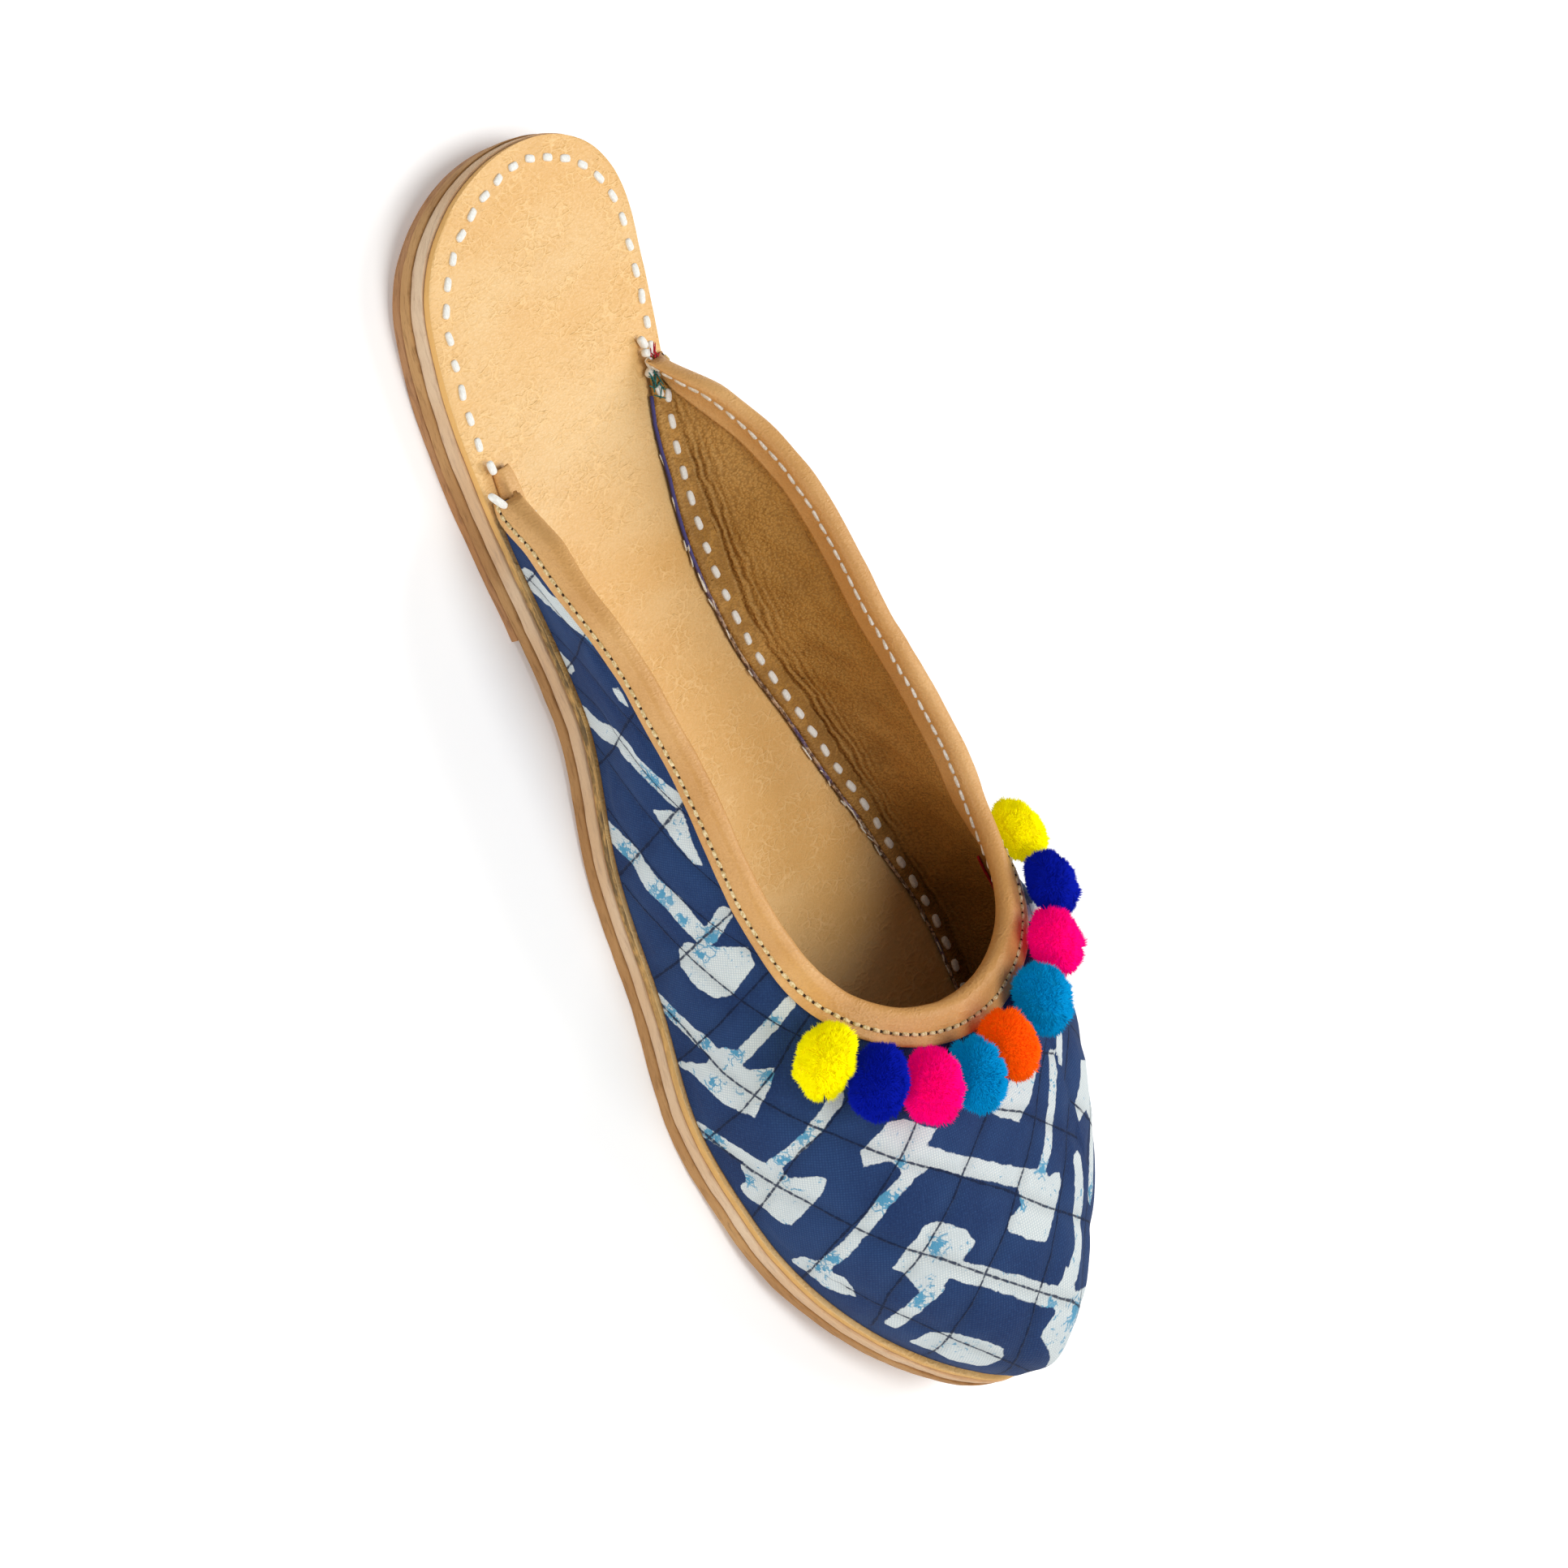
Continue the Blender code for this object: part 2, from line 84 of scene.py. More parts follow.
RIB_STEPS = 81

# Ribs and rows of the cloth: the coarse net is laid flat, the fine net is what shows
COARSE_SIDE = 25
COARSE_FAN = 70
COARSE_ROWS = 40
FINE = 3
FINE_ROWS = 100

# along = share of LENGTH, half = share of half the ball width, centre = shift of the centre line
SOLE_COLUMNS = ("along", "half", "centre")
SOLE_ROWS = (
    (0.00, 0.690, 0.0054),
    (0.12, 0.708, 0.0000),
    (0.25, 0.636, -0.0043),
    (0.38, 0.605, -0.0039),
    (0.50, 0.792, -0.0022),
    (0.60, 0.895, 0.0000),
    (0.70, 1.000, 0.0011),
    (0.80, 0.935, 0.0019),
    (0.90, 0.830, 0.0024),
    (1.00, 0.650, 0.0026),
)
COLLAR_COLUMNS = ("along", "share")
COLLAR_WIDTH_ROWS = ((0.00, 0.594), (0.20, 0.734), (0.45, 0.743), (0.70, 0.865), (1.00, 1.060))
COLLAR_HEIGHT_ROWS = (
    (0.00, 0.310), (0.12, 0.495), (0.30, 0.680), (0.55, 0.752), (0.80, 0.795), (1.00, 1.000),
)
# Binding down the outside and the inside of the wall, by share of the collar's run from an end to the throat
BINDING_COLUMNS = ("run", "strip", "facing")
BINDING_ROWS = (
    (0.00, 0.0094, 0.0064),
    (0.08, 0.0054, 0.0066),
    (0.18, 0.0039, 0.0058),
    (0.32, 0.0034, 0.0048),
    (0.60, 0.0040, 0.0045),
    (0.80, 0.0048, 0.0045),
    (1.00, 0.0057, 0.0045),
)
# Turned-in lower edge and the cord line, as insets from the sole's outline, by share of LENGTH
EDGE_COLUMNS = ("along", "raw", "cord")
EDGE_ROWS = (
    (0.00, 0.0066, 0.0040),
    (0.19, 0.0066, 0.0040),
    (0.25, 0.0082, 0.0060),
    (0.33, 0.0103, 0.0074),
    (0.40, 0.0088, 0.0062),
    (0.50, 0.0091, 0.0069),
    (0.59, 0.0079, 0.0056),
    (0.66, 0.0090, 0.0062),
    (1.00, 0.0084, 0.0060),
)
RIB_COLUMNS = ("turn", "low_bulge", "low_up", "high_reach", "high_bulge", "high_drop")
RIB_ROWS = (
    (0.00, 0.0040, 0.66, 0.66, 0.0000, 0.06),
    (0.30, 0.0050, 0.68, 0.68, 0.0006, 0.08),
    (0.60, 0.0054, 0.63, 0.60, 0.0012, 0.14),
    (0.85, 0.0048, 0.50, 0.37, 0.0016, 0.30),
    (1.00, 0.0042, 0.40, 0.15, 0.0018, 0.40),
)


def column(rows, columns, name):
    return np.array([row[columns.index(name)] for row in rows], dtype=float)


def smooth(xs, ys, x):
    """Monotone cubic curve through a table's points."""
    step = np.diff(xs)
    rate = np.diff(ys) / step
    slope = np.zeros(len(xs))
    for i in range(1, len(xs) - 1):
        if rate[i - 1] * rate[i] > 0:
            w1 = 2 * step[i] + step[i - 1]
            w2 = step[i] + 2 * step[i - 1]
            slope[i] = (w1 + w2) / (w1 / rate[i - 1] + w2 / rate[i])
    slope[0] = rate[0]
    slope[-1] = rate[-1]
    x = np.clip(np.asarray(x, dtype=float), xs[0], xs[-1])
    k = np.clip(np.searchsorted(xs, x) - 1, 0, len(xs) - 2)
    h = step[k]
    t = (x - xs[k]) / h
    rise = t * t * (3 - 2 * t)
    ends = h * (t * (1 - t) ** 2 * slope[k] + t * t * (t - 1) * slope[k + 1])
    return ys[k] * (1 - rise) + ys[k + 1] * rise + ends


def run_along(points):
    """Distance gone along a line of points, from its first point."""
    return np.concatenate(([0.0], np.cumsum(np.linalg.norm(np.diff(points, axis=0), axis=1))))


def crowded_ends(count, start=0.0):
    """Shares from 0 to 1 that crowd towards both ends; a start angle leaves out the first ones."""
    return (1 - np.cos(np.linspace(start, math.pi, count))) / 2


def centre_line(x):
    return smooth(
        column(SOLE_ROWS, SOLE_COLUMNS, "along") * LENGTH, column(SOLE_ROWS, SOLE_COLUMNS, "centre"), x
    )


def half_width(x):
    along = column(SOLE_ROWS, SOLE_COLUMNS, "along") * LENGTH
    base = smooth(along, column(SOLE_ROWS, SOLE_COLUMNS, "half") * HALF_BALL, x)
    heel = np.clip(1 - x / HEEL_CAP, 0, 1)
    toe = np.clip(1 - (LENGTH - x) / TOE_CAP, 0, 1)
    heel = np.clip(1 - heel ** HEEL_POWER, 0, 1) ** (1 / HEEL_POWER)
    toe = np.clip(1 - toe ** TOE_POWER, 0, 1) ** (1 / TOE_POWER)
    return base * heel * toe


def heel_rise(x):
    return HEEL_RISE * np.clip(1 - np.asarray(x, dtype=float) / HEEL_RISE_END, 0, 1) ** 2


def underside(x):
    x = np.asarray(x, dtype=float)
    lift = LIFT_BACK + (LIFT_FRONT - LIFT_BACK) * np.clip(x / LIFT_LENGTH, 0, 1)
    fall = np.clip((x - LIFT_LENGTH) / (ARCH_END - LIFT_LENGTH), 0, 1)
    heel = (lift + GAP) * (1 - fall * fall * (3 - 2 * fall))
    toe = np.clip((x - SPRING_START) / (LENGTH - SPRING_START), 0, 1)
    return heel_rise(x) + heel + TOE_SPRING * toe ** 2


def outsole_top(x):
    return underside(x) + OUTSOLE


def midsole_top(x):
    t = np.clip((np.asarray(x, dtype=float) - LIFT_LENGTH) / (ARCH_END - LIFT_LENGTH), 0, 1)
    return outsole_top(x) + GAP + MIDSOLE_HEEL + (MIDSOLE_BALL - MIDSOLE_HEEL) * t


def insole_top(x):
    return midsole_top(x) + GAP + INSOLE


def side_points(x, inset):
    inner = inset + (LENGTH - 2 * inset) * x / LENGTH
    half = np.maximum(half_width(x) - inset * np.minimum(1, half_width(x) / NARROW_SOLE), 0)
    centre = centre_line(x)
    return inner, centre - half, centre + half


def in_frame(points):
    """Points measured from the heel end, moved to the part's frame."""
    return np.asarray(points, dtype=float) - np.array((LENGTH / 2, SIDE_MIDDLE, 0.0))


def collar_rail(count=160):
    share = np.sin(np.linspace(0, math.pi / 2, count))
    along = column(COLLAR_WIDTH_ROWS, COLLAR_COLUMNS, "along")
    width = smooth(along, column(COLLAR_WIDTH_ROWS, COLLAR_COLUMNS, "share") * HALF_BALL, share)
    width = width * np.sqrt(np.clip(1 - share ** COLLAR_POWER, 0, 1))
    along = column(COLLAR_HEIGHT_ROWS, COLLAR_COLUMNS, "along")
    height = smooth(along, column(COLLAR_HEIGHT_ROWS, COLLAR_COLUMNS, "share") * INSTEP_HEIGHT, share)
    x = COLLAR_START + (THROAT - COLLAR_START) * share
    centre = centre_line(x)
    right = np.column_stack((x + COLLAR_SKEW * width, centre - width, height))
    left = np.column_stack((x - COLLAR_SKEW * width, centre + width, height))
    return np.vstack((right, left[-2::-1]))


def feather_rail(count=400):
    stations = LENGTH * crowded_ends(count, FEATHER_START)
    x, right, left = side_points(stations, FEATHER_INSET)
    z = insole_top(x) + GAP
    return np.vstack((np.column_stack((x, right, z)), np.column_stack((x, left, z))[-2::-1]))


def at_angle(rail, angle):
    centre = centre_line(FAN_CENTRE)
    front = rail[rail[:, 0] > FAN_CENTRE - FAN_MARGIN]
    angles = np.arctan2(front[:, 1] - centre, front[:, 0] - FAN_CENTRE)
    return np.array([np.interp(angle, angles, front[:, k]) for k in range(3)])


def at_station(rail, x, side):
    middle = int(np.argmax(rail[:, 0]))
    half = rail[:middle + 1] if side == 0 else rail[middle:][::-1]
    return np.array([np.interp(x, half[:, 0], half[:, k]) for k in range(3)])


def make_ribs(fine):
    """Feet, heads, outward directions and turns of the ribs, from the -Y end round the toe to the +Y end."""
    feather = feather_rail()
    collar = collar_rail()
    sides = []
    for side in (0, 1):
        row = []
        sign = -1.0 if side == 0 else 1.0
        start = COLLAR_START - sign * COLLAR_SKEW * np.abs(collar[0, 1] - centre_line(COLLAR_START))
        out = np.array([0.0, sign, 0.0])
        for x in np.linspace(start, FAN_CENTRE, COARSE_SIDE * fine + 1):
            row.append((at_station(feather, x, side), at_station(collar, x, side), out, 1.0))
        sides.append(row)
    fan = []
    spread = np.linspace(-1, 1, COARSE_FAN * fine + 1)[1:-1]
    for angle in np.sign(spread) * np.abs(spread) ** FAN_CROWDING * math.pi / 2:
        out = np.array([math.cos(angle), math.sin(angle), 0.0])
        fan.append((at_angle(feather, angle), at_angle(collar, angle), out, abs(angle) / (math.pi / 2)))
    return sides[0] + fan + sides[1][::-1]


def rib_curve(rib, v):
    foot, head, out, turn = rib
    turns = column(RIB_ROWS, RIB_COLUMNS, "turn")
    value = {n: float(smooth(turns, column(RIB_ROWS, RIB_COLUMNS, n), turn)) for n in RIB_COLUMNS[1:]}
    reach = max(float(np.dot(foot - head, out)), 0.0)
    rise = np.array([0.0, 0.0, head[2] - foot[2]])
    fullness = min(1.0, rise[2] / FULL_HEIGHT)
    low = foot + out * value["low_bulge"] * fullness + rise * value["low_up"]
    high_out = value["high_reach"] * reach + value["high_bulge"] * fullness
    high = head + out * high_out - rise * value["high_drop"]
    t = np.linspace(0, 1, RIB_STEPS)[:, None]
    run = (1 - t) ** 3 * foot + 3 * t * (1 - t) ** 2 * low + 3 * t * t * (1 - t) * high + t ** 3 * head
    gone = run_along(run)
    points = np.column_stack([np.interp(np.asarray(v) * gone[-1], gone, run[:, k]) for k in range(3)])
    return points, gone[-1]


def rib_net(ribs, rows):
    """Points on the ribs at shares of their length, with each rib's length."""
    found = [rib_curve(rib, rows[i]) for i, rib in enumerate(ribs)]
    return np.array([f[0] for f in found]), np.array([f[1] for f in found])


def net_normals(points):
    """Outward unit normals of a net of points (ribs, rows, 3)."""
    along = np.gradient(points, axis=0)
    up = np.gradient(points, axis=1)
    normals = np.cross(along, up)
    return normals / np.maximum(np.linalg.norm(normals, axis=2, keepdims=True), 1e-12)


def ripple(points, size, seed, octaves=3):
    """Smooth pseudo noise from -1 to 1 at places in metres, with features of a size."""
    draw = np.random.default_rng(seed)
    total = np.zeros(points.shape[:-1])
    weight = 1.0
    for _ in range(octaves):
        for _ in range(4):
            way = draw.normal(size=points.shape[-1])
            way = way / np.linalg.norm(way) * draw.uniform(0.7, 1.3) * 2 * math.pi / size
            total += weight * np.sin(points @ way + draw.uniform(0, 6.28)) / 4
        size = size / 2.1
        weight = weight * 0.55
    return total


def select_only(piece):
    bpy.ops.object.select_all(action="DESELECT")
    piece.select_set(True)
    bpy.context.view_layer.objects.active = piece


def sheet_from_net(name, points, flat=None):
    """A grid primitive laid over a net of points, with a flat pattern of the net as its UV map, in metres."""
    n, m = points.shape[:2]
    bpy.ops.object.select_all(action="DESELECT")
    bpy.ops.mesh.primitive_grid_add(x_subdivisions=m - 1, y_subdivisions=n - 1, size=1)
    piece = bpy.context.object
    piece.name = name
    piece.data.name = name
    piece.data.vertices.foreach_set("co", np.ascontiguousarray(points.reshape(-1), dtype=np.float32))
    if flat is not None:
        corner = np.zeros(len(piece.data.loops), dtype=np.int32)
        piece.data.loops.foreach_get("vertex_index", corner)
        uv = np.ascontiguousarray(flat.reshape(-1, 2)[corner].reshape(-1), dtype=np.float32)
        piece.data.uv_layers.active.data.foreach_set("uv", uv)
    piece.data.update()
    return piece


def turn_faces_out(piece, inside):
    """Flip the faces where they look towards a point inside."""
    mesh = piece.data
    centre = np.zeros(len(mesh.polygons) * 3, dtype=np.float32)
    normal = np.zeros(len(mesh.polygons) * 3, dtype=np.float32)
    mesh.polygons.foreach_get("center", centre)
    mesh.polygons.foreach_get("normal", normal)
    way = centre.reshape(-1, 3) - np.asarray(inside, dtype=np.float32)
    if (way * normal.reshape(-1, 3)).sum() < 0:
        mesh.flip_normals()


def apply_modifier(piece, kind, **settings):
    select_only(piece)
    modifier = piece.modifiers.new(kind.title(), kind)
    for key, value in settings.items():
        setattr(modifier, key, value)
    bpy.ops.object.modifier_apply(modifier=modifier.name)


def add_attribute(piece, name, values):
    layer = piece.data.attributes.new(name, "FLOAT", "POINT")
    layer.data.foreach_set("value", np.ascontiguousarray(values, dtype=np.float32))


def set_materials(piece, materials):
    piece.data.materials.clear()
    for made in materials:
        piece.data.materials.append(made)


def finish_piece(piece, materials, slot, *nodes):
    """Smooth shading, materials unless set before, the body it rides on, and the node it stands for."""
    select_only(piece)
    bpy.ops.object.shade_smooth()
    if materials:
        set_materials(piece, materials)
    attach(piece, "root")
    if nodes:
        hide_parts(*nodes)
    return piece


def joined_copies(name, template, places):
    """One mesh of a small template's copies: places are (origin, X, Y, Z) rows, the axes scaled."""
    verts, faces = template
    count = len(verts)
    all_verts = []
    all_faces = []
    for number, (origin, ax, ay, az) in enumerate(places):
        all_verts.append(origin + verts[:, :1] * ax + verts[:, 1:2] * ay + verts[:, 2:3] * az)
        all_faces.extend([[c + number * count for c in face] for face in faces])
    mesh = bpy.data.meshes.new(name)
    mesh.from_pydata(np.concatenate(all_verts).tolist(), [], all_faces)
    piece = bpy.data.objects.new(name, mesh)
    bpy.context.scene.collection.objects.link(piece)
    return piece


def template_of(maker, **settings):
    """Vertices and faces of a primitive, which is then removed."""
    bpy.ops.object.select_all(action="DESELECT")
    maker(**settings)
    thing = bpy.context.object
    verts = np.array([v.co for v in thing.data.vertices])
    faces = [list(p.vertices) for p in thing.data.polygons]
    bpy.data.objects.remove(thing, do_unlink=True)
    return verts, faces


# Materials


class Net:
    """Small builder for a material's nodes."""

    def __init__(self, name, roughness):
        self.material = bpy.data.materials.new(name)
        self.material.use_nodes = True
        self.tree = self.material.node_tree
        self.shader = self.tree.nodes["Principled BSDF"]
        self.shader.inputs["Roughness"].default_value = roughness

    def add(self, kind, **settings):
        made = self.tree.nodes.new(kind)
        for key, value in settings.items():
            setattr(made, key, value)
        return made

    def put(self, socket, value):
        if isinstance(value, bpy.types.NodeSocket):
            self.tree.links.new(value, socket)
        elif isinstance(value, tuple) and len(value) == 3 and socket.type == "RGBA":
            socket.default_value = (*value, 1.0)
        else:
            socket.default_value = value

    def place(self, stretch=(1, 1, 1), uv=False):
        if uv:
            source = self.add("ShaderNodeUVMap").outputs["UV"]
        else:
            source = self.add("ShaderNodeTexCoord").outputs["Object"]
        if stretch == (1, 1, 1):
            return source
        mapping = self.add("ShaderNodeMapping")
        mapping.inputs["Scale"].default_value = stretch
        self.put(mapping.inputs["Vector"], source)
        return mapping.outputs["Vector"]

    def noise(self, size, detail=3.0, rough=0.5, where=None):
        """Noise with features of a size in metres."""
        made = self.add("ShaderNodeTexNoise")
        made.inputs["Scale"].default_value = 1.0 / size
        made.inputs["Detail"].default_value = detail
        made.inputs["Roughness"].default_value = rough
        self.put(made.inputs["Vector"], where if where is not None else self.place())
        return made.outputs["Fac"]

    def cells(self, size, where, feature="DISTANCE_TO_EDGE"):
        """Distances in a pattern of cells of a size in metres."""
        made = self.add("ShaderNodeTexVoronoi", feature=feature)
        made.inputs["Scale"].default_value = 1.0 / size
        self.put(made.inputs["Vector"], where)
        return made.outputs["Distance"]

    def value(self, operation, a, b=0.0, clamp=False):
        made = self.add("ShaderNodeMath", operation=operation)
        made.use_clamp = clamp
        self.put(made.inputs[0], a)
        self.put(made.inputs[1], b)
        return made.outputs[0]

    def band(self, source, low, high, out_low=0.0, out_high=1.0):
        made = self.add("ShaderNodeMapRange", interpolation_type="SMOOTHSTEP")
        self.put(made.inputs["Value"], source)
        made.inputs["From Min"].default_value = low
        made.inputs["From Max"].default_value = high
        made.inputs["To Min"].default_value = out_low
        made.inputs["To Max"].default_value = out_high
        return made.outputs["Result"]

    def mix(self, share, a, b, blend="MIX"):
        """Two colours mixed; the colour sockets of the node are numbers 6, 7 and 2."""
        made = self.add("ShaderNodeMix", data_type="RGBA", blend_type=blend)
        self.put(made.inputs["Factor"], share)
        self.put(made.inputs[6], a)
        self.put(made.inputs[7], b)
        return made.outputs[2]

    def attribute(self, name):
        return self.add("ShaderNodeAttribute", attribute_name=name).outputs["Fac"]

    def warp(self, where, size, amount):
        """A place pushed about by noise, in metres."""
        made = self.add("ShaderNodeTexNoise")
        made.inputs["Scale"].default_value = 1.0 / size
        made.inputs["Detail"].default_value = 2.0
        self.put(made.inputs["Vector"], where)
        shift = self.add("ShaderNodeVectorMath", operation="MULTIPLY_ADD")
        self.put(shift.inputs[0], made.outputs["Color"])
        shift.inputs[1].default_value = (amount, amount, amount)
        self.put(shift.inputs[2], where)
        return shift.outputs[0]

    def split(self, where):
        """The X, Y and Z of a place, as sockets."""
        made = self.add("ShaderNodeSeparateXYZ")
        self.put(made.inputs[0], where)
        return made.outputs

    def shine(self, level):
        self.shader.inputs["Specular IOR Level"].default_value = level

    def glow(self, colour, strength):
        self.shader.inputs["Emission Color"].default_value = (*colour, 1.0)
        self.shader.inputs["Emission Strength"].default_value = strength

    def colour(self, value):
        self.put(self.shader.inputs["Base Color"], value)

    def roughness(self, value):
        self.put(self.shader.inputs["Roughness"], value)

    def bump(self, height, depth, strength):
        """Bump of a height field from 0 to 1, depth in metres; calls chain."""
        made = self.add("ShaderNodeBump")
        made.inputs["Strength"].default_value = strength
        made.inputs["Distance"].default_value = depth
        self.put(made.inputs["Height"], height)
        normal = self.shader.inputs["Normal"]
        if normal.is_linked:
            self.put(made.inputs["Normal"], normal.links[0].from_socket)
        self.put(normal, made.outputs["Normal"])


def linear(level):
    """Linear light of one 8-bit screen level."""
    share = level / 255
    return share / 12.92 if share <= 0.04045 else ((share + 0.055) / 1.055) ** 2.4


def srgb(r, g, b):
    """Linear colour of an 8-bit screen colour."""
    return linear(r), linear(g), linear(b)


NAVY = srgb(40, 67, 110)
NAVY_DEEP = srgb(28, 50, 92)
NAVY_LIGHT = srgb(46, 78, 126)
CLOTH_WHITE = srgb(220, 225, 222)
CLOTH_GREY = srgb(188, 198, 202)
CRACKLE_TEAL = srgb(52, 142, 180)
THREAD_NAVY = srgb(18, 33, 64)
INSOLE_TAN = srgb(228, 178, 106)
INSOLE_PALE = srgb(235, 197, 138)
INSOLE_DEEP = srgb(214, 160, 84)
LINING_TAN = srgb(188, 137, 60)
LINING_PALE = srgb(206, 156, 82)
LINING_DEEP = srgb(132, 90, 34)
# Painted shade deep inside the upper, towards the toe
LINING_TOE_SHADE = srgb(92, 60, 20)
BINDING_TAN = srgb(205, 151, 84)
BINDING_PALE = srgb(224, 176, 112)
BINDING_DEEP = srgb(180, 126, 66)
CORD_WHITE = srgb(246, 246, 240)
THREAD_GOLD = srgb(240, 222, 178)
OUTSOLE_EDGE = srgb(172, 126, 78)
OUTSOLE_DARK = srgb(128, 88, 50)
LIFT_EDGE = srgb(182, 131, 84)
LIFT_DARK = srgb(124, 84, 60)
MIDSOLE_EDGE = srgb(213, 176, 136)
MIDSOLE_DARK = srgb(184, 150, 122)
YARN_COLOURS = {
    "yellow": srgb(255, 234, 0),
    "blue": srgb(6, 22, 150),
    "pink": srgb(255, 0, 118),
    "teal": srgb(0, 132, 188),
    "orange": srgb(255, 88, 4),
}
# Stands in for the light that is scattered inside the yarn
YARN_GLOW = 0.29
POM_COLOURS = ("yellow", "blue", "pink", "teal", "orange", "teal", "pink", "blue", "yellow")


# Creases run mostly along the foot
LEATHER_STRETCH = (1.5, 0.8, 1.1)


def leather(name, base, pale, deep, crease, depth, grain, pits, marks, roughness, folds_and_toe_shade=False):
    """Soft leather: creases with pale ridges and painted shade beside them, wrinkles, pebbled grain and slow
    changes of tone.

    crease, depth and grain are sizes in metres; pits, marks and roughness are shares from 0 to 1. The lining
    switch also adds pleats with painted shade in their troughs, and painted shade towards the toe.
    """
    net = Net(name, roughness)
    where = net.place(LEATHER_STRETCH)
    colour = net.mix(net.band(net.noise(42 * MM, 2.0, 0.5, where), 0.36, 0.70), base, pale)
    colour = net.mix(net.band(net.noise(17 * MM, 3.0, 0.55, where), 0.46, 0.80, 0.0, 0.35), colour, deep)
    wide = net.cells(crease, net.warp(where, crease * 1.3, crease * 1.1))
    small = net.cells(crease * 0.5, net.warp(where, crease, crease * 0.7))
    partly = net.band(net.noise(crease * 2.2, 3.0, 0.6, where), 0.36, 0.62, 0.15, 1.0)
    drift = net.noise(crease * 2.6, 3.0, 0.55, net.warp(where, crease * 2, crease))
    flow = net.band(net.value("ABSOLUTE", net.value("SUBTRACT", drift, 0.5)), 0.0, 0.022, 1.0, 0.0)
    ridge = net.value("MULTIPLY", net.band(wide, 0.0, 0.17, 1.0, 0.0), partly)
    ridge = net.value("MAXIMUM", ridge, net.value("MULTIPLY", flow, 0.45))
    wrinkle = net.value("MULTIPLY", net.band(small, 0.0, 0.24, 1.0, 0.0), partly)
    pebble = net.cells(grain, net.warp(where, grain * 2, grain * 0.9), "F1")
    colour = net.mix(net.band(pebble, 0.40, 0.80, 0.0, pits * 0.7), colour, deep)
    fine = net.band(small, 0.0, 0.10, 0.55, 0.0)
    lines = net.value("MAXIMUM", net.band(wide, 0.0, 0.09, 1.0, 0.0), fine)
    lines = net.value("MULTIPLY", lines, partly)
    # Painted shade: the leather darker beside the crease ridges, where the relief falls into shade
    beside = net.value("MULTIPLY", net.band(wide, 0.05, 0.30, 1.0, 0.0), partly)
    colour = net.mix(net.value("MULTIPLY", beside, 0.45 * marks), colour, deep)
    bright = tuple(min(1.0, c * 1.18) for c in pale)
    colour = net.mix(net.value("MULTIPLY", lines, marks), colour, bright)
    net.bump(net.band(pebble, 0.10, 0.75, 1.0, 0.0), depth * (0.25 + 0.7 * pits), 0.7)
    net.bump(wrinkle, depth * 0.4, 0.8)
    net.bump(ridge, depth * (0.25 + 0.7 * marks), 0.9)
    if folds_and_toe_shade:
        colour = fold_rows(net, colour, deep, where)
        # Painted shade: the lining darker towards the toe, deep inside the upper where it is in shade
        toe_shade_along = net.split(net.place())[0]
        colour = net.mix(net.band(toe_shade_along, 0.0, 0.075, 0.0, 0.75), colour, LINING_TOE_SHADE)
    net.colour(colour)
    net.bump(net.noise(11 * MM, 2.0, 0.5, where), 0.5 * MM, 0.25)
    net.roughness(net.band(pebble, 0.1, 0.8, roughness - 0.05, roughness + 0.12))
    net.shine(0.42)
    return net.material


def fold_rows(net, colour, deep, where):
    """Small pleats that run along the foot of the lining, where it is pulled in under the cords, with painted
    shade in their troughs.
    """
    rise = net.value("MULTIPLY", net.attribute("foot_height"), 2 * math.pi / 1.5)
    sway = net.value("MULTIPLY", net.noise(9 * MM, 3.0, 0.6, where), 10.0)
    rows = net.value("SINE", net.value("ADD", rise, sway))
    low = net.band(net.attribute("foot_height"), 1.0, 9.0, 1.0, 0.0)
    low = net.value("MULTIPLY", low, net.band(net.noise(15 * MM, 2.0, 0.5, where), 0.34, 0.60, 0.35, 1.0))
    rows = net.value("MULTIPLY", rows, low)
    net.bump(rows, 0.22 * MM, 0.9)
    # Painted shade: the lining darker in the troughs of the pleats
    return net.mix(net.band(rows, -1.0, -0.15, 0.45, 0.0), colour, deep)


def cut_edge(name, base, dark, pale):
    """Raw cut leather edge: fibres that run along the layer, dark flecks and fuzz."""
    net = Net(name, 0.78)
    where = net.place((1.0, 1.0, 7.0))
    streak = net.noise(4.5 * MM, 4.0, 0.62, where)
    flecks = net.noise(1.6 * MM, 3.0, 0.6, net.place((1.0, 1.0, 3.0)))
    tone = net.noise(26 * MM, 2.0, 0.5)
    colour = net.mix(net.band(tone, 0.35, 0.7), base, pale)
    colour = net.mix(net.band(streak, 0.47, 0.80, 0.0, 0.8), colour, dark)
    net.colour(net.mix(net.band(flecks, 0.60, 0.82, 0.0, 0.6), colour, dark))
    net.bump(streak, 0.35 * MM, 0.7)
    net.bump(flecks, 0.18 * MM, 0.6)
    net.shine(0.25)
    return net.material


def edge_dark_by_cloth(name, base, cloth_side_colour):
    """Cut edge of the insole: clean leather round the heel, darker in flecks along the stretch beside the
    cloth.
    """
    net = Net(name, 0.7)
    along = net.split(net.place())[0]
    flecks = net.noise(3.0 * MM, 4.0, 0.65, net.place((1.0, 1.0, 4.0)))
    # Darker along the stretch of the edge beside the cloth, where the upper overhangs it
    beside = net.band(along, -0.072, -0.045)
    beside = net.value("MULTIPLY", beside, net.band(along, 0.005, 0.050, 1.0, 0.2))
    share = net.value("MULTIPLY", beside, net.band(flecks, 0.30, 0.62, 0.25, 0.95))
    net.colour(net.mix(share, base, cloth_side_colour))
    net.bump(flecks, 0.2 * MM, 0.6)
    net.shine(0.25)
    return net.material


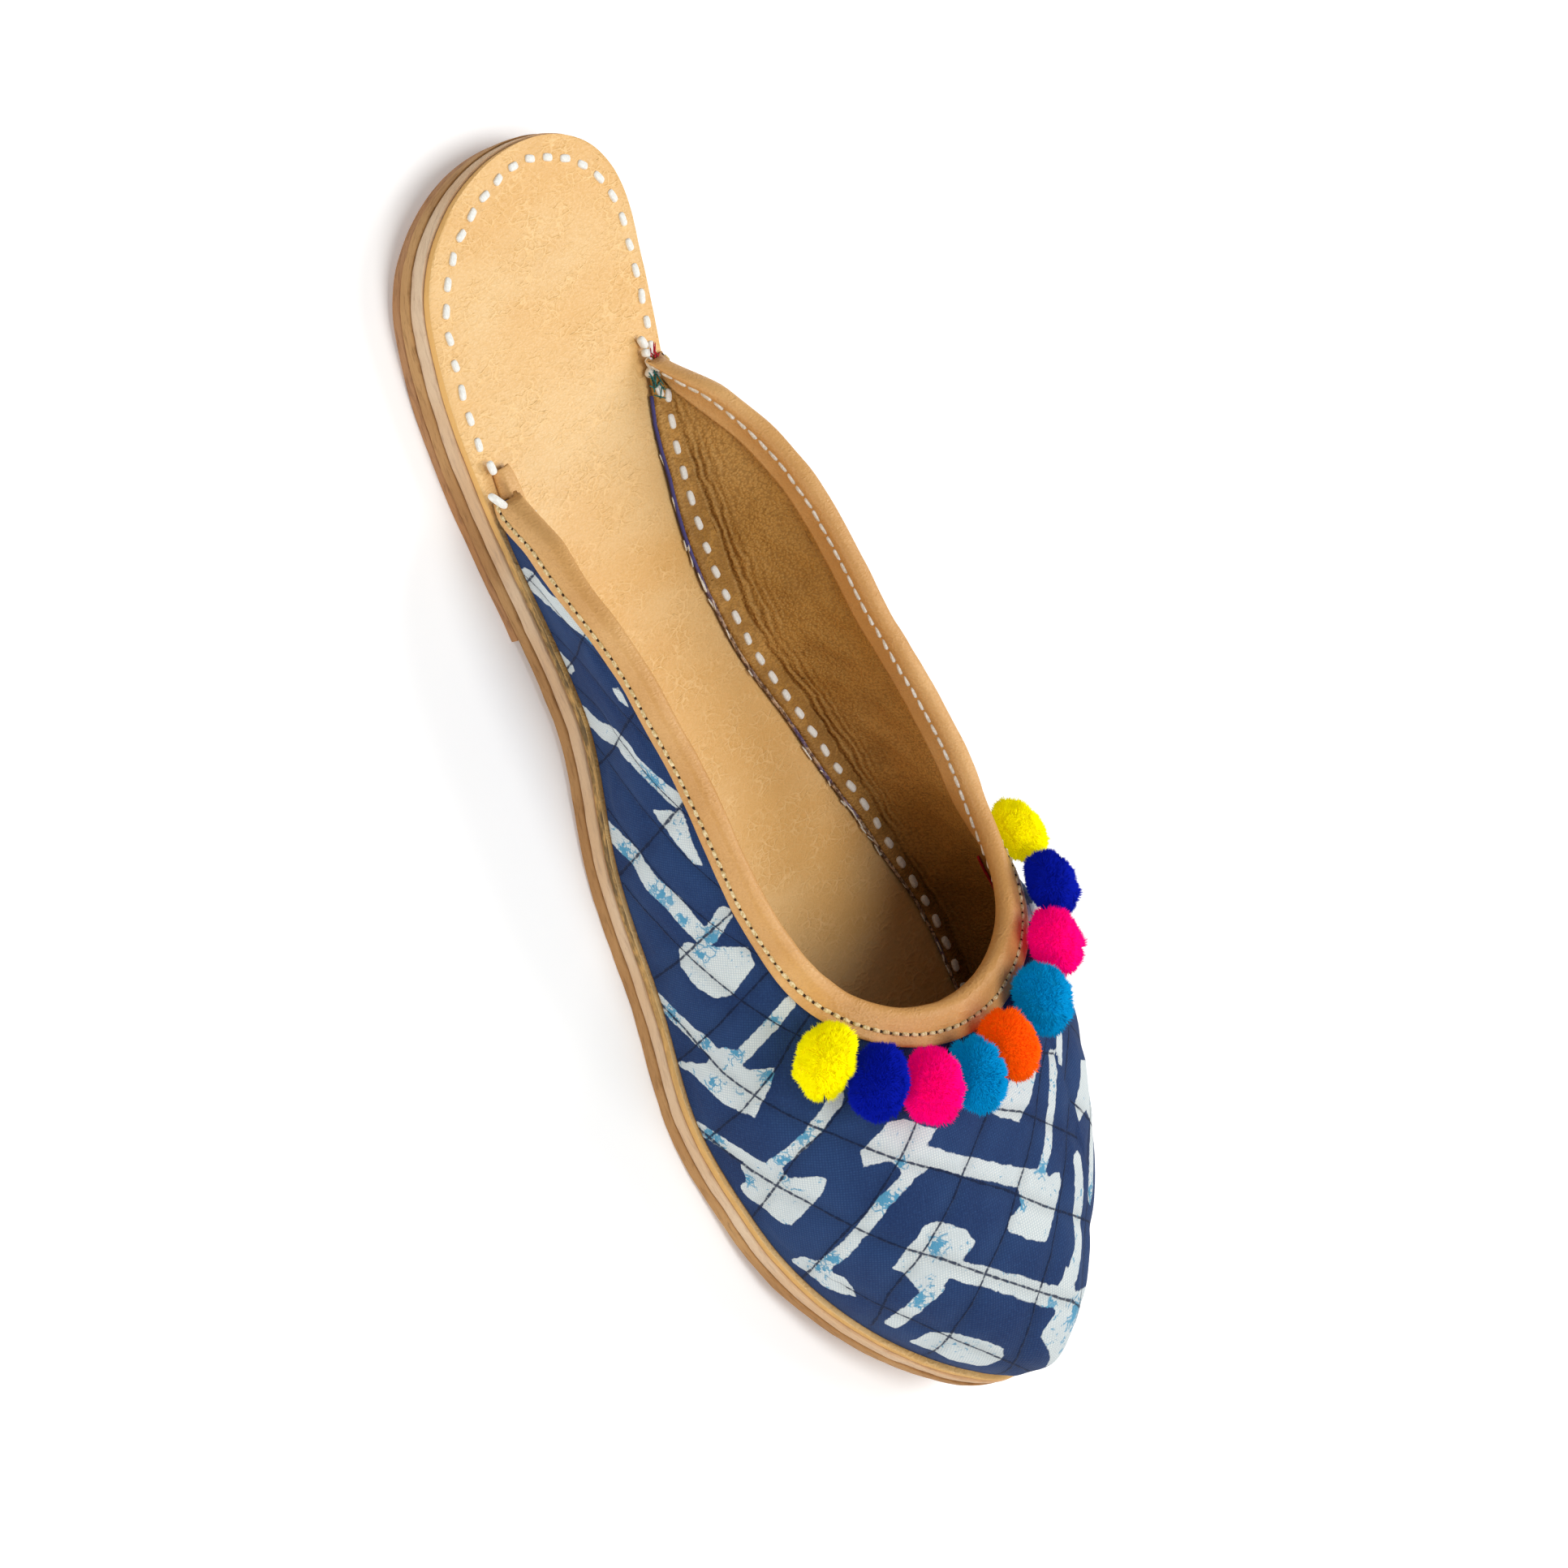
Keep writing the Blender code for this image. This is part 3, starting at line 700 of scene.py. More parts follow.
def frayed_edge(name, thread_colour, pale, dark):
    """Raw edge of the turned-in lining: coloured thread near the collar end, frayed leather further in."""
    net = Net(name, 0.85)
    along = net.split(net.place())[0]
    fibres = net.noise(1.1 * MM, 4.0, 0.7, net.place((1.0, 1.0, 2.0)))
    tone = net.noise(6 * MM, 2.0, 0.5)
    inner = net.mix(net.band(fibres, 0.40, 0.62), dark, pale)
    inner = net.mix(net.band(tone, 0.50, 0.62, 0.0, 0.6), inner, thread_colour)
    net.colour(net.mix(net.band(along, -0.045, -0.025), thread_colour, inner))
    net.bump(fibres, 0.25 * MM, 0.8)
    net.shine(0.15)
    return net.material


def resist_share(net, flat):
    """White share of the print: the charted edge, bled and nibbled by the block."""
    wobble = net.value("SUBTRACT", net.noise(2.6 * MM, 3.0, 0.6, flat), 0.5)
    nibble = net.value("SUBTRACT", net.noise(0.8 * MM, 2.0, 0.6, flat), 0.5)
    bleed = net.value("ADD", net.attribute("figure_edge"), net.value("MULTIPLY", wobble, 1.15))
    bleed = net.value("ADD", bleed, net.value("MULTIPLY", nibble, 0.32))
    return net.band(bleed, -0.10, 0.16)


def woven_threads(net, flat):
    """Height of the plain weave: the product of two crossing waves."""
    waves = []
    for way in ("X", "Y"):
        wave = net.add("ShaderNodeTexWave", wave_type="BANDS", bands_direction=way)
        wave.inputs["Scale"].default_value = 640.0
        wave.inputs["Distortion"].default_value = 1.6
        wave.inputs["Detail"].default_value = 2.0
        net.put(wave.inputs["Vector"], flat)
        waves.append(wave.outputs["Fac"])
    return net.value("MULTIPLY", *waves)


def crackle_share(net, flat):
    """Teal share of the white figures: blots and veins near the charted cracks, and a few stray flecks."""
    blots = net.noise(1.5 * MM, 4.0, 0.68, net.warp(flat, 4 * MM, 2 * MM))
    veins = net.band(net.cells(1.7 * MM, net.warp(flat, 1.6 * MM, 1.1 * MM)), 0.02, 0.14, 1.0, 0.0)
    level = net.value("ADD", blots, net.value("MULTIPLY", net.attribute("crackle"), 0.46))
    patches = net.band(level, 0.79, 0.83)
    broken = net.value("MULTIPLY", veins, net.band(level, 0.59, 0.68, 0.0, 0.9))
    flecks = net.noise(0.9 * MM, 2.0, 0.5, net.warp(flat, 2 * MM, 2 * MM))
    few = net.band(net.noise(6.5 * MM, 2.0, 0.5, flat), 0.56, 0.62)
    few = net.value("MULTIPLY", few, net.band(flecks, 0.60, 0.63))
    return net.value("MAXIMUM", net.value("MAXIMUM", broken, patches), net.value("MULTIPLY", few, 0.85))


def quilting(net, flat):
    """Distance to the nearest quilting line, in millimetres, and the thread's share along the lines."""
    hairs = net.value("MULTIPLY", net.value("SUBTRACT", net.noise(1.8 * MM, 2.0, 0.5, flat), 0.5), 0.5)
    across = net.split(flat)
    seam = FAR_FROM_SEAM
    sewn = 0.0
    for label, along in (("seam_up", (0.57, 0.82)), ("seam_down", (0.77, -0.64))):
        gap = net.value("MULTIPLY", net.value("PINGPONG", net.attribute(label), 0.5), SEAM_PITCH)
        run = net.value("MULTIPLY", across[0], along[0] * 1000)
        run = net.value("ADD", run, net.value("MULTIPLY", across[1], along[1] * 1000))
        dash = net.band(net.value("PINGPONG", run, 1.0), 0.08, 0.26, 0.62, 1.0)
        line = net.band(net.value("ADD", gap, hairs), 0.08, 0.27, 1.0, 0.0)
        seam = net.value("MINIMUM", gap, seam)
        sewn = net.value("MAXIMUM", net.value("MULTIPLY", line, dash), sewn)
    return seam, sewn


def printed_cloth():
    """Indigo block print on cotton: white figures kept by the resist, teal crackle, weave and quilting, with
    painted shade along the quilting lines.
    """
    net = Net("printed_cloth", 0.88)
    flat = net.place(uv=True)
    threads = woven_threads(net, flat)
    shade = net.noise(16 * MM, 3.0, 0.55, flat)
    fleck = net.noise(0.55 * MM, 3.0, 0.75, flat)
    navy = net.mix(net.band(shade, 0.36, 0.66), NAVY_DEEP, NAVY)
    navy = net.mix(net.band(fleck, 0.42, 0.78, 0.0, 0.75), navy, NAVY_LIGHT)
    navy = net.mix(net.band(threads, 0.05, 0.45, 0.6, 0.0), navy, NAVY_DEEP)
    worn = net.band(net.noise(7 * MM, 2.0, 0.5, flat), 0.4, 0.7, 0.0, 0.5)
    grey = net.value("MAXIMUM", worn, net.band(threads, 0.05, 0.40, 0.85, 0.0))
    light = net.mix(grey, CLOTH_WHITE, CLOTH_GREY)
    light = net.mix(net.value("MULTIPLY", crackle_share(net, flat), 0.9), light, CRACKLE_TEAL)
    colour = net.mix(resist_share(net, flat), navy, light)
    seam, sewn = quilting(net, flat)
    colour = net.mix(net.value("MULTIPLY", sewn, 0.92, True), colour, THREAD_NAVY)
    # Painted shade: the cloth darker within about 2 mm of each quilting line, in the seam grooves
    seam_shade = net.band(seam, 0.0, 2.2, 0.86, 1.0)
    net.colour(net.mix(1.0, colour, seam_shade, "MULTIPLY"))
    net.bump(threads, 0.10 * MM, 0.7)
    net.bump(fleck, 0.06 * MM, 0.5)
    net.bump(net.noise(5 * MM, 3.0, 0.6, flat), 0.35 * MM, 0.35)
    net.bump(sewn, 0.25 * MM, 0.6)
    net.shader.inputs["Sheen Weight"].default_value = 0.04
    net.shader.inputs["Sheen Roughness"].default_value = 0.6
    net.shine(0.12)
    return net.material


def yarn(name, colour):
    """Soft dyed yarn: each fibre darker at its root as painted shade deep in the pompom, and a little lighter
    or darker than the next.
    """
    net = Net(name, 0.95)
    tone = net.noise(0.8 * MM, 2.0, 0.6)
    dark = tuple(c * 0.55 for c in colour)
    pale = tuple(min(1.0, c * 1.15) for c in colour)
    # Painted shade: the yarn darker towards the fibres' roots
    tip = net.value("MULTIPLY", net.attribute("tip"), 0.6)
    level = net.value("ADD", tip, net.value("MULTIPLY", tone, 0.6))
    net.colour(net.mix(net.band(level, 0.22, 0.80), dark, pale))
    net.shine(0.05)
    net.glow(colour, YARN_GLOW)
    return net.material


def thread(name, colour, dark):
    """Twisted thread or cord."""
    net = Net(name, 0.8)
    twist = net.noise(0.5 * MM, 2.0, 0.6, net.place((1.0, 1.6, 1.0)))
    net.colour(net.mix(net.band(twist, 0.35, 0.7), dark, colour))
    net.bump(twist, 0.12 * MM, 0.6)
    net.shine(0.25)
    return net.material


insole_leather = leather(
    "insole_leather", INSOLE_TAN, INSOLE_PALE, INSOLE_DEEP,
    crease=2.7 * MM, depth=0.12 * MM, grain=0.55 * MM, pits=0.2, marks=0.55, roughness=0.45,
)
lining_leather = leather(
    "lining_leather", LINING_TAN, LINING_PALE, LINING_DEEP,
    crease=2.8 * MM, depth=0.20 * MM, grain=0.62 * MM, pits=0.75, marks=0.14, roughness=0.60, folds_and_toe_shade=True,
)
binding_leather = leather(
    "binding_leather", BINDING_TAN, BINDING_PALE, BINDING_DEEP,
    crease=2.4 * MM, depth=0.10 * MM, grain=0.55 * MM, pits=0.3, marks=0.18, roughness=0.44,
)
outsole_edge = cut_edge("outsole_edge", OUTSOLE_EDGE, OUTSOLE_DARK, srgb(196, 152, 100))
midsole_edge = cut_edge("midsole_edge", MIDSOLE_EDGE, MIDSOLE_DARK, srgb(223, 196, 164))
lift_edge = cut_edge("lift_edge", LIFT_EDGE, LIFT_DARK, srgb(182, 136, 96))
insole_edge = edge_dark_by_cloth("insole_edge", INSOLE_TAN, srgb(96, 78, 52))
cloth = printed_cloth()
white_cord = thread("white_cord", CORD_WHITE, srgb(232, 230, 222))
gold_thread = thread("gold_thread", THREAD_GOLD, srgb(190, 160, 104))
white_thread = thread("white_thread", srgb(248, 246, 240), srgb(216, 208, 190))
# Painted shade: dark blobs that stand for the needle holes
hole_shade = thread("hole_shade", srgb(70, 46, 22), srgb(44, 28, 14))
red_thread = thread("red_thread", srgb(206, 30, 48), srgb(150, 16, 34))
teal_thread = thread("teal_thread", srgb(58, 134, 128), srgb(36, 96, 96))
raw_edge = frayed_edge("raw_edge", srgb(84, 80, 136), srgb(206, 176, 146), srgb(92, 66, 50))
yarns = {name: yarn("yarn_" + name, colour) for name, colour in YARN_COLOURS.items()}

# The upper's net, laid flat

END_DIP = 0.0095
END_FALL = 0.60
END_SHIFT = 0.0012
END_OVERRUN = 1.2
END_EASE = 1.6
END_TRIM = 3


def dip_ends(points):
    """Both ends of the collar come down to the insole over their last stretch; points in the part's frame."""
    moved = np.array(points, dtype=float)
    for sign, end in ((-1.0, END_MINUS), (1.0, END_PLUS)):
        near = np.clip((end + END_DIP - moved[..., 0]) / END_DIP, 0, END_OVERRUN) ** END_EASE
        near = np.where(np.sign(moved[..., 1]) == sign, near, 0.0)
        base = insole_top(moved[..., 0] + LENGTH / 2) + GAP
        moved[..., 2] = base + (moved[..., 2] - base) * (1 - END_FALL * np.minimum(near, END_OVERRUN))
        moved[..., 1] -= sign * END_SHIFT * near
    return moved


def lay_flat(points):
    """Flat pattern of a coarse net, in metres: the toe line's foot is the origin and +s runs to the toe."""
    sheet = sheet_from_net("flat_pattern", points)
    select_only(sheet)
    bpy.ops.object.mode_set(mode="EDIT")
    bpy.ops.mesh.select_all(action="SELECT")
    bpy.ops.uv.unwrap(method="ANGLE_BASED", margin=0.0)
    bpy.ops.object.mode_set(mode="OBJECT")
    mesh = sheet.data
    uv = np.zeros(len(mesh.loops) * 2, dtype=np.float32)
    mesh.uv_layers.active.data.foreach_get("uv", uv)
    corner = np.zeros(len(mesh.loops), dtype=np.int32)
    mesh.loops.foreach_get("vertex_index", corner)
    n, m = points.shape[:2]
    flat = np.zeros((n * m, 2))
    flat[corner] = uv.reshape(-1, 2)
    flat = flat.reshape(n, m, 2)
    bpy.data.objects.remove(sheet, do_unlink=True)
    a = flat[1:, :-1] - flat[:-1, :-1]
    b = flat[:-1, 1:] - flat[:-1, :-1]
    drawn = np.abs(a[..., 0] * b[..., 1] - a[..., 1] * b[..., 0]).sum()
    along = points[1:, :-1] - points[:-1, :-1]
    up = points[:-1, 1:] - points[:-1, :-1]
    real = np.linalg.norm(np.cross(along, up), axis=-1)
    flat = flat * math.sqrt(real.sum() / drawn)
    toe = n // 2
    way = flat[toe, 0] - flat[toe, -1]
    way = way / np.linalg.norm(way)
    flat = (flat - flat[toe, 0]) @ np.array(((way[0], -way[1]), (way[1], way[0])))
    if flat[-1, 0, 1] < 0:
        flat[..., 1] *= -1
    return flat


def refine(values, u_steps, v_count):
    """Values of a coarse net at the fine net's ribs and rows."""
    n, m = values.shape[:2]
    u = np.linspace(0, n - 1, (n - 1) * u_steps + 1)
    v = np.linspace(0, m - 1, v_count)
    i = np.minimum(u.astype(int), n - 2)
    j = np.minimum(v.astype(int), m - 2)
    a = (u - i)[:, None, None]
    b = (v - j)[None, :, None]
    corner = values[i][:, j]
    return (
        corner * (1 - a) * (1 - b)
        + values[i + 1][:, j] * a * (1 - b)
        + values[i][:, j + 1] * (1 - a) * b
        + values[i + 1][:, j + 1] * a * b
    )


coarse_ribs = make_ribs(1)
coarse_rows = [np.linspace(0, 1, COARSE_ROWS + 1)] * len(coarse_ribs)
coarse_net, _ = rib_net(coarse_ribs, coarse_rows)
coarse_flat = lay_flat(in_frame(coarse_net))
fine_ribs = make_ribs(FINE)[END_TRIM:]
fine_net, rib_lengths = rib_net(fine_ribs, [np.linspace(0, 1, FINE_ROWS + 1)] * len(fine_ribs))
fine_flat = refine(coarse_flat, FINE, FINE_ROWS + 1)[END_TRIM:]
END_MINUS = fine_ribs[0][0][0] - LENGTH / 2
END_PLUS = fine_ribs[-1][0][0] - LENGTH / 2

# Print and quilting, charted on the flat pattern in millimetres

# White figures, as corners of closed shapes (s, t)
FIGURES = (
    ((-45.3, -3.7), (-44.5, 1.7), (-43, 3), (-41.9, 7.1), (-39.7, 7.1), (-36.3, 3), (-33.3, -0.7),
     (-34.7, -3.3), (-38.7, -8.1), (-40.7, -7), (-41.5, -4)),
    ((-39.7, -14.5), (-43, -16.7), (-46.3, -21.7), (-46, -23.7), (-38.7, -29.8), (-37.3, -27.7),
     (-32.7, -24.7), (-33.3, -21), (-36.7, -18.3)),
    ((-62, -18.3), (-60, -21), (-57.3, -21.7), (-55.7, -21), (-54.7, -25.7), (-59.3, -27.7), (-59.2, -33),
     (-62, -33), (-66.3, -27.7), (-66, -24.3), (-63.3, -21)),
    ((-60, -51), (-60.1, -47.3), (-57, -47), (-58.3, -40.7), (-57.7, -39.1), (-55.7, -39.7), (-52, -42.3),
     (-46, -47), (-45.9, -49.3), (-49.3, -56.7), (-51.7, -57.7), (-53.7, -55.7), (-57.3, -56.3)),
    ((-82, -57), (-82, -53.7), (-79.3, -53), (-78.3, -52.3), (-79, -46.3), (-75.3, -47.7), (-69.3, -51),
     (-70, -56), (-72, -59.7), (-74.7, -64.3), (-75.3, -69.3), (-76.3, -69.3), (-78, -61), (-80, -60.3)),
    ((-21.3, 5), (-18, 11), (-14.7, 15), (-12, 17), (-9, 13), (-7.5, 7.5), (-8.2, 1.7), (-12, 0.3),
     (-16.7, -2.7), (-18.7, -2), (-20.3, -0.2), (-23.3, -0.3), (-27, 3)),
    ((-62.7, 11), (-60, 10.3), (-56.7, 5), (-54.7, 0), (-59.3, -5.7), (-60, -3.7), (-61.7, -0.3),
     (-63.5, 5)),
    ((-21.5, -23), (-21.3, -18), (-19.6, -14), (-16.2, -8.8), (-12, -8.2), (-9.5, -11), (-12, -19),
     (-17, -26)),
    ((-103, -62.9), (-102.5, -59.2), (-102.7, -53.3), (-102.5, -50), (-98.9, -49.1), (-92.7, -54.2),
     (-91.7, -57.7), (-93.4, -61.4), (-97.5, -65.2), (-100.8, -65.4)),
    ((-129.9, -60.3), (-124.6, -58.8), (-119.5, -57), (-119.8, -59.2), (-129.7, -68), (-130.2, -64.3)),
    ((-163.5, -73.9), (-166, -79), (-167.7, -84.9), (-168.5, -89.3), (-169.3, -94.4), (-174.1, -95.3),
     (-175.2, -92.9), (-174.1, -87.8), (-172.3, -81.9), (-169.7, -78.3)),
    ((-155.5, -70.1), (-151, -68.6), (-152.8, -71.3), (-155, -71.8)),
    ((-157.2, -91.6), (-155, -87.8), (-153.9, -86.9), (-152.3, -89.6), (-152.6, -90.7)),
    ((-38.5, -45.5), (-36, -42.2), (-35.4, -38), (-33.2, -36.8), (-29.5, -36), (-30, -42), (-35, -49)),
)

# Thin bars between them: half width, then points along the bar (s, t)
BARS = (
    (1.65, (-57.9, -21), (-42.7, 2)),
    (1.75, (-37.3, -21), (-31.7, -12.3), (-22.7, 0.3)),
    (1.25, (-56.7, -24), (-52, -30.3), (-46.7, -34.3), (-41.3, -38.3), (-36.5, -42.3)),
    (1.25, (-72.7, -35.7), (-67.3, -40.3), (-62.7, -45), (-59.3, -49)),
    (1.35, (-91, -43), (-86, -47.7), (-80.7, -53)),
    (1.55, (-33.3, -22.3), (-30, -25.3), (-23, -29.3)),
    (1.15, (-59.3, 15.7), (-54.7, 12.3), (-49.3, 7.7), (-44.7, 2.3)),
    (1.7, (-40, 13.3), (-32, 10), (-28, 7.7), (-22.7, 2.3)),
    (1.6, (-58.3, -51), (-60.7, -57), (-63, -65)),
    (1.65, (-81, -59.7), (-84, -65.7), (-88, -73.5)),
    (1.6, (-110, -53.7), (-106.3, -56.3), (-103.3, -59.2)),
    (2.0, (-105.2, -59.9), (-110.7, -64.3), (-114.3, -69.5), (-118.7, -73.9), (-121.7, -83)),
    (1.7, (-132.7, -61.5), (-136.3, -66.5), (-140.7, -72.4)),
    (2.1, (-140.7, -72.4), (-142.6, -76.8), (-142.2, -82.7), (-143.7, -90)),
)

# Patches where the resist cracked: place (s, t) and radius
CRACKS = (
    (-52.7, -30, 3.4), (-66.3, -42.3, 2.2), (-61.3, -47, 2.0), (-39.3, -39.7, 2.6), (-36, -42.7, 2.0),
    (-31.3, -25, 2.6), (-45.3, 2.3, 1.8), (-17.3, 5.7, 3.0), (-21.3, -1.7, 2.2), (-42, -4.3, 1.6),
    (-77, -47.7, 2.2), (-81.3, -54.3, 2.0), (-86, -69.7, 2.6), (-62, -61.7, 3.0), (-54, -55, 1.8),
    (-82, -61, 1.6), (-88, -46.3, 1.6), (-58.7, -26.3, 1.5), (-41.3, -21.7, 2.0), (-136.7, -66.5, 3.4),
    (-112.1, -67.3, 2.8), (-118, -76.8, 3.2), (-104.1, -57.7, 2.8), (-100.4, -59.9, 1.6), (-165, -75, 1.4),
    (-129, -82, 3.0), (-107.7, -62.9, 1.6), (-13.3, 11.7, 1.6), (-74.5, -60, 1.8), (-57, -47, 1.6),
)

CRACK_SPREAD = 1.5

# The repeat of the print where the photo does not reach: a zigzag with a hammer head at each corner
REPEAT_ALONG = np.array((22.0, 4.0))
REPEAT_ACROSS = np.array((6.7, -47.0))
RIGHT_CORNER = np.array((-44.0, 1.5))
LEFT_CORNER = np.array((-58.0, -22.0))
RIGHT_HEAD = (
    (-1.0, -3.5), (-0.5, 1.5), (2.2, 7.2), (4.5, 7.6), (12.0, 0.8), (11.0, -2.0), (6.0, -7.6), (3.4, -5.0),
)
LEFT_HEAD = (
    (1.5, 1.5), (-2.0, 3.5), (-4.5, 4.0), (-9.5, -3.5), (-5.0, -10.5), (-2.0, -10.8), (-1.2, -6.0),
    (3.0, -4.0),
)
BAR_HALF = 1.6
RETURN_BAR_HALF = BAR_HALF * 0.85
REPEATS_ALONG = range(-9, 6)
REPEATS_ACROSS = range(-3, 2)
BAR_CRACK = 3.4
CORNER_CRACK = 2.2
# Where the charted side ends: t at some s; and the t past which the quilting is mirrored
CHARTED_S = (-60, -30, 0)
CHARTED_T = (17, 15.5, 19)
MIRRORED_T = 17.0
NO_FIGURE = -30.0

# Quilting lines (s, t) of the two directions, in order across the cloth
SEAMS_UP = (
    ((8, 16), (2, 9), (-8, -2), (-15, -12), (-25, -26), (-32, -38)),
    ((-6, 18), (-12, 12.3), (-20, 4.3), (-25.3, -3), (-32.7, -13), (-38.7, -21), (-42.3, -27), (-48, -36),
     (-52, -43), (-57, -54), (-63, -65)),
    ((-25, 18), (-29.7, 12.3), (-34, 7), (-39.3, 0.3), (-45.3, -6.3), (-54.5, -19), (-59, -26.5),
     (-66, -37.5), (-71, -46.5), (-76.7, -57), (-84, -67), (-88, -74)),
    ((-41, 18), (-49.3, 9), (-56, 1.7), (-60, -5), (-70, -18), (-78, -30), (-86, -44), (-92, -53),
     (-99, -62), (-106, -70), (-112, -79)),
    ((-58, 18), (-70, 0), (-80, -14), (-98, -44), (-105, -54), (-112, -63), (-120, -72), (-126, -83)),
    ((-75, 18), (-95, -16), (-112, -50), (-119, -58.5), (-127, -67.5), (-133, -76), (-138, -87)),
    ((-90, 18), (-110, -20), (-127, -56), (-134, -65), (-141, -73), (-147, -82), (-150, -90)),
    ((-105, 18), (-125, -25), (-142, -62), (-150, -72), (-156, -80), (-161, -92)),
    ((-120, 18), (-140, -30), (-157, -68), (-163, -76), (-168, -84), (-173, -95)),
    ((-135, 18), (-155, -35), (-171, -74), (-177, -84), (-182, -95)),
)
SEAMS_DOWN = (
    ((-38, 24), (-30, 14), (-22, 9), (-12, 7), (0, 8)),
    ((-50, 18), (-45.3, 12.3), (-41.3, 9), (-36, 4.3), (-32, 1), (-28, -1.7), (-23.3, -4), (-19.3, -5),
     (-14.7, -5.7), (-4, -5)),
    ((-62, 15), (-56.7, 9), (-52, 3.7), (-48, -0.3), (-44, -4.3), (-39.3, -8), (-33.3, -13),
     (-28.7, -15.7), (-23.3, -18.3), (-11, -21.5)),
    ((-70, 5), (-60, -5.7), (-56.7, -9.7), (-52.7, -14.3), (-48, -18.3), (-43.3, -22.3), (-36.7, -27.7),
     (-32, -30.3), (-20, -33)),
    ((-82, -4), (-72, -14), (-64, -22.3), (-60, -25.7), (-56, -29), (-50.7, -33), (-47.3, -36.3),
     (-42.7, -39.7), (-30, -47)),
    ((-90, -16), (-80, -26), (-72, -34), (-66.7, -39), (-62.7, -43.7), (-54.7, -49), (-50.7, -51.7),
     (-38, -60)),
    ((-100, -29), (-90, -38), (-84, -43), (-78.7, -46.3), (-74, -50.3), (-70, -53.7), (-66, -58.3),
     (-56, -69)),
    ((-110, -34), (-100, -44), (-93, -51), (-86, -58), (-79, -66), (-71, -76)),
    ((-121, -40), (-113, -49), (-105, -58), (-98, -66), (-88, -80)),
    ((-138, -54), (-129.7, -62.5), (-121.7, -70.2), (-115, -77.6), (-106, -88)),
    ((-152, -66), (-144.4, -74), (-139.3, -79), (-134, -86), (-128, -94)),
    ((-172, -69), (-165.7, -76), (-159, -83), (-153, -91), (-148, -98)),
    ((-186, -76), (-180, -83), (-174, -91), (-169, -99)),
)


def segment_gap(points, a, b):
    """Distance from points to a segment and the share of the segment where it is nearest."""
    way = b - a
    share = np.clip(((points - a) @ way) / max(way @ way, 1e-12), 0, 1)
    return np.linalg.norm(points - a - share[:, None] * way, axis=1), share


def shape_edge(points, corners):
    """Signed distance to a closed shape: positive inside."""
    corners = np.asarray(corners, dtype=float)
    gap = np.full(len(points), 1e9)
    inside = np.zeros(len(points), dtype=bool)
    for a, b in zip(corners, np.roll(corners, -1, axis=0)):
        gap = np.minimum(gap, segment_gap(points, a, b)[0])
        crosses = (a[1] > points[:, 1]) != (b[1] > points[:, 1])
        level = b[1] - a[1] if b[1] != a[1] else 1e-12
        inside ^= crosses & (points[:, 0] < (b[0] - a[0]) * (points[:, 1] - a[1]) / level + a[0])
    return np.where(inside, gap, -gap)


def bar_edge(points, half, line):
    gap = np.full(len(points), 1e9)
    for a, b in zip(line[:-1], line[1:]):
        gap = np.minimum(gap, segment_gap(points, np.asarray(a, float), np.asarray(b, float))[0])
    return half - gap


def chart_print(points):
    """Signed distance to the white figures and strength of the crackle, at flat places in millimetres."""
    edge = np.full(len(points), NO_FIGURE)
    for corners in FIGURES:
        edge = np.maximum(edge, shape_edge(points, corners))
    for half, *line in BARS:
        edge = np.maximum(edge, bar_edge(points, half, line))
    crack = np.zeros(len(points))
    for s, t, radius in CRACKS:
        crack = np.maximum(crack, 1 - np.linalg.norm(points - (s, t), axis=1) / (radius * CRACK_SPREAD))
    far = np.full(len(points), NO_FIGURE)
    far_crack = np.zeros(len(points))
    for i in REPEATS_ALONG:
        for j in REPEATS_ACROSS:
            right = RIGHT_CORNER + i * REPEAT_ALONG + j * REPEAT_ACROSS
            left = LEFT_CORNER + i * REPEAT_ALONG + j * REPEAT_ACROSS
            below = right + REPEAT_ACROSS
            far = np.maximum(far, shape_edge(points, right + np.array(RIGHT_HEAD)))
            far = np.maximum(far, shape_edge(points, left + np.array(LEFT_HEAD)))
            far = np.maximum(far, bar_edge(points, BAR_HALF, (right, left)))
            far = np.maximum(far, bar_edge(points, RETURN_BAR_HALF, (left, below)))
            for spot, radius in (((left + below) / 2, BAR_CRACK), (right, CORNER_CRACK)):
                far_crack = np.maximum(far_crack, 1 - np.linalg.norm(points - spot, axis=1) / radius)
    seen = points[:, 1] < np.interp(points[:, 0], CHARTED_S, CHARTED_T)
    return np.where(seen, edge, far), np.clip(np.where(seen, crack, far_crack), 0, 1)


def count_seams(points, seams):
    """A field that passes a whole number at each quilting line of a direction, in order."""
    gaps = []
    for line in seams:
        nearest = np.full(len(points), 1e9)
        side = np.zeros(len(points))
        for a, b in zip(line[:-1], line[1:]):
            a = np.asarray(a, float)
            b = np.asarray(b, float)
            gap = segment_gap(points, a, b)[0]
            turn = (b[0] - a[0]) * (points[:, 1] - a[1]) - (b[1] - a[1]) * (points[:, 0] - a[0])
            closer = gap < nearest
            nearest = np.where(closer, gap, nearest)
            side = np.where(closer, np.sign(turn), side)
        gaps.append(nearest * side)
    field = np.full(len(points), -0.5)
    for number, (first, second) in enumerate(zip(gaps[:-1], gaps[1:])):
        between = (first <= 0) & (second > 0)
        share = np.abs(first) / np.maximum(np.abs(first) + np.abs(second), 1e-9)
        field = np.where(between, number + share, field)
    field = np.where(gaps[0] > 0, -np.minimum(np.abs(gaps[0]) / SEAM_PITCH, 0.9), field)
    last = len(seams) - 1
    return np.where(gaps[-1] <= 0, last + np.minimum(np.abs(gaps[-1]) / SEAM_PITCH, 0.9), field)


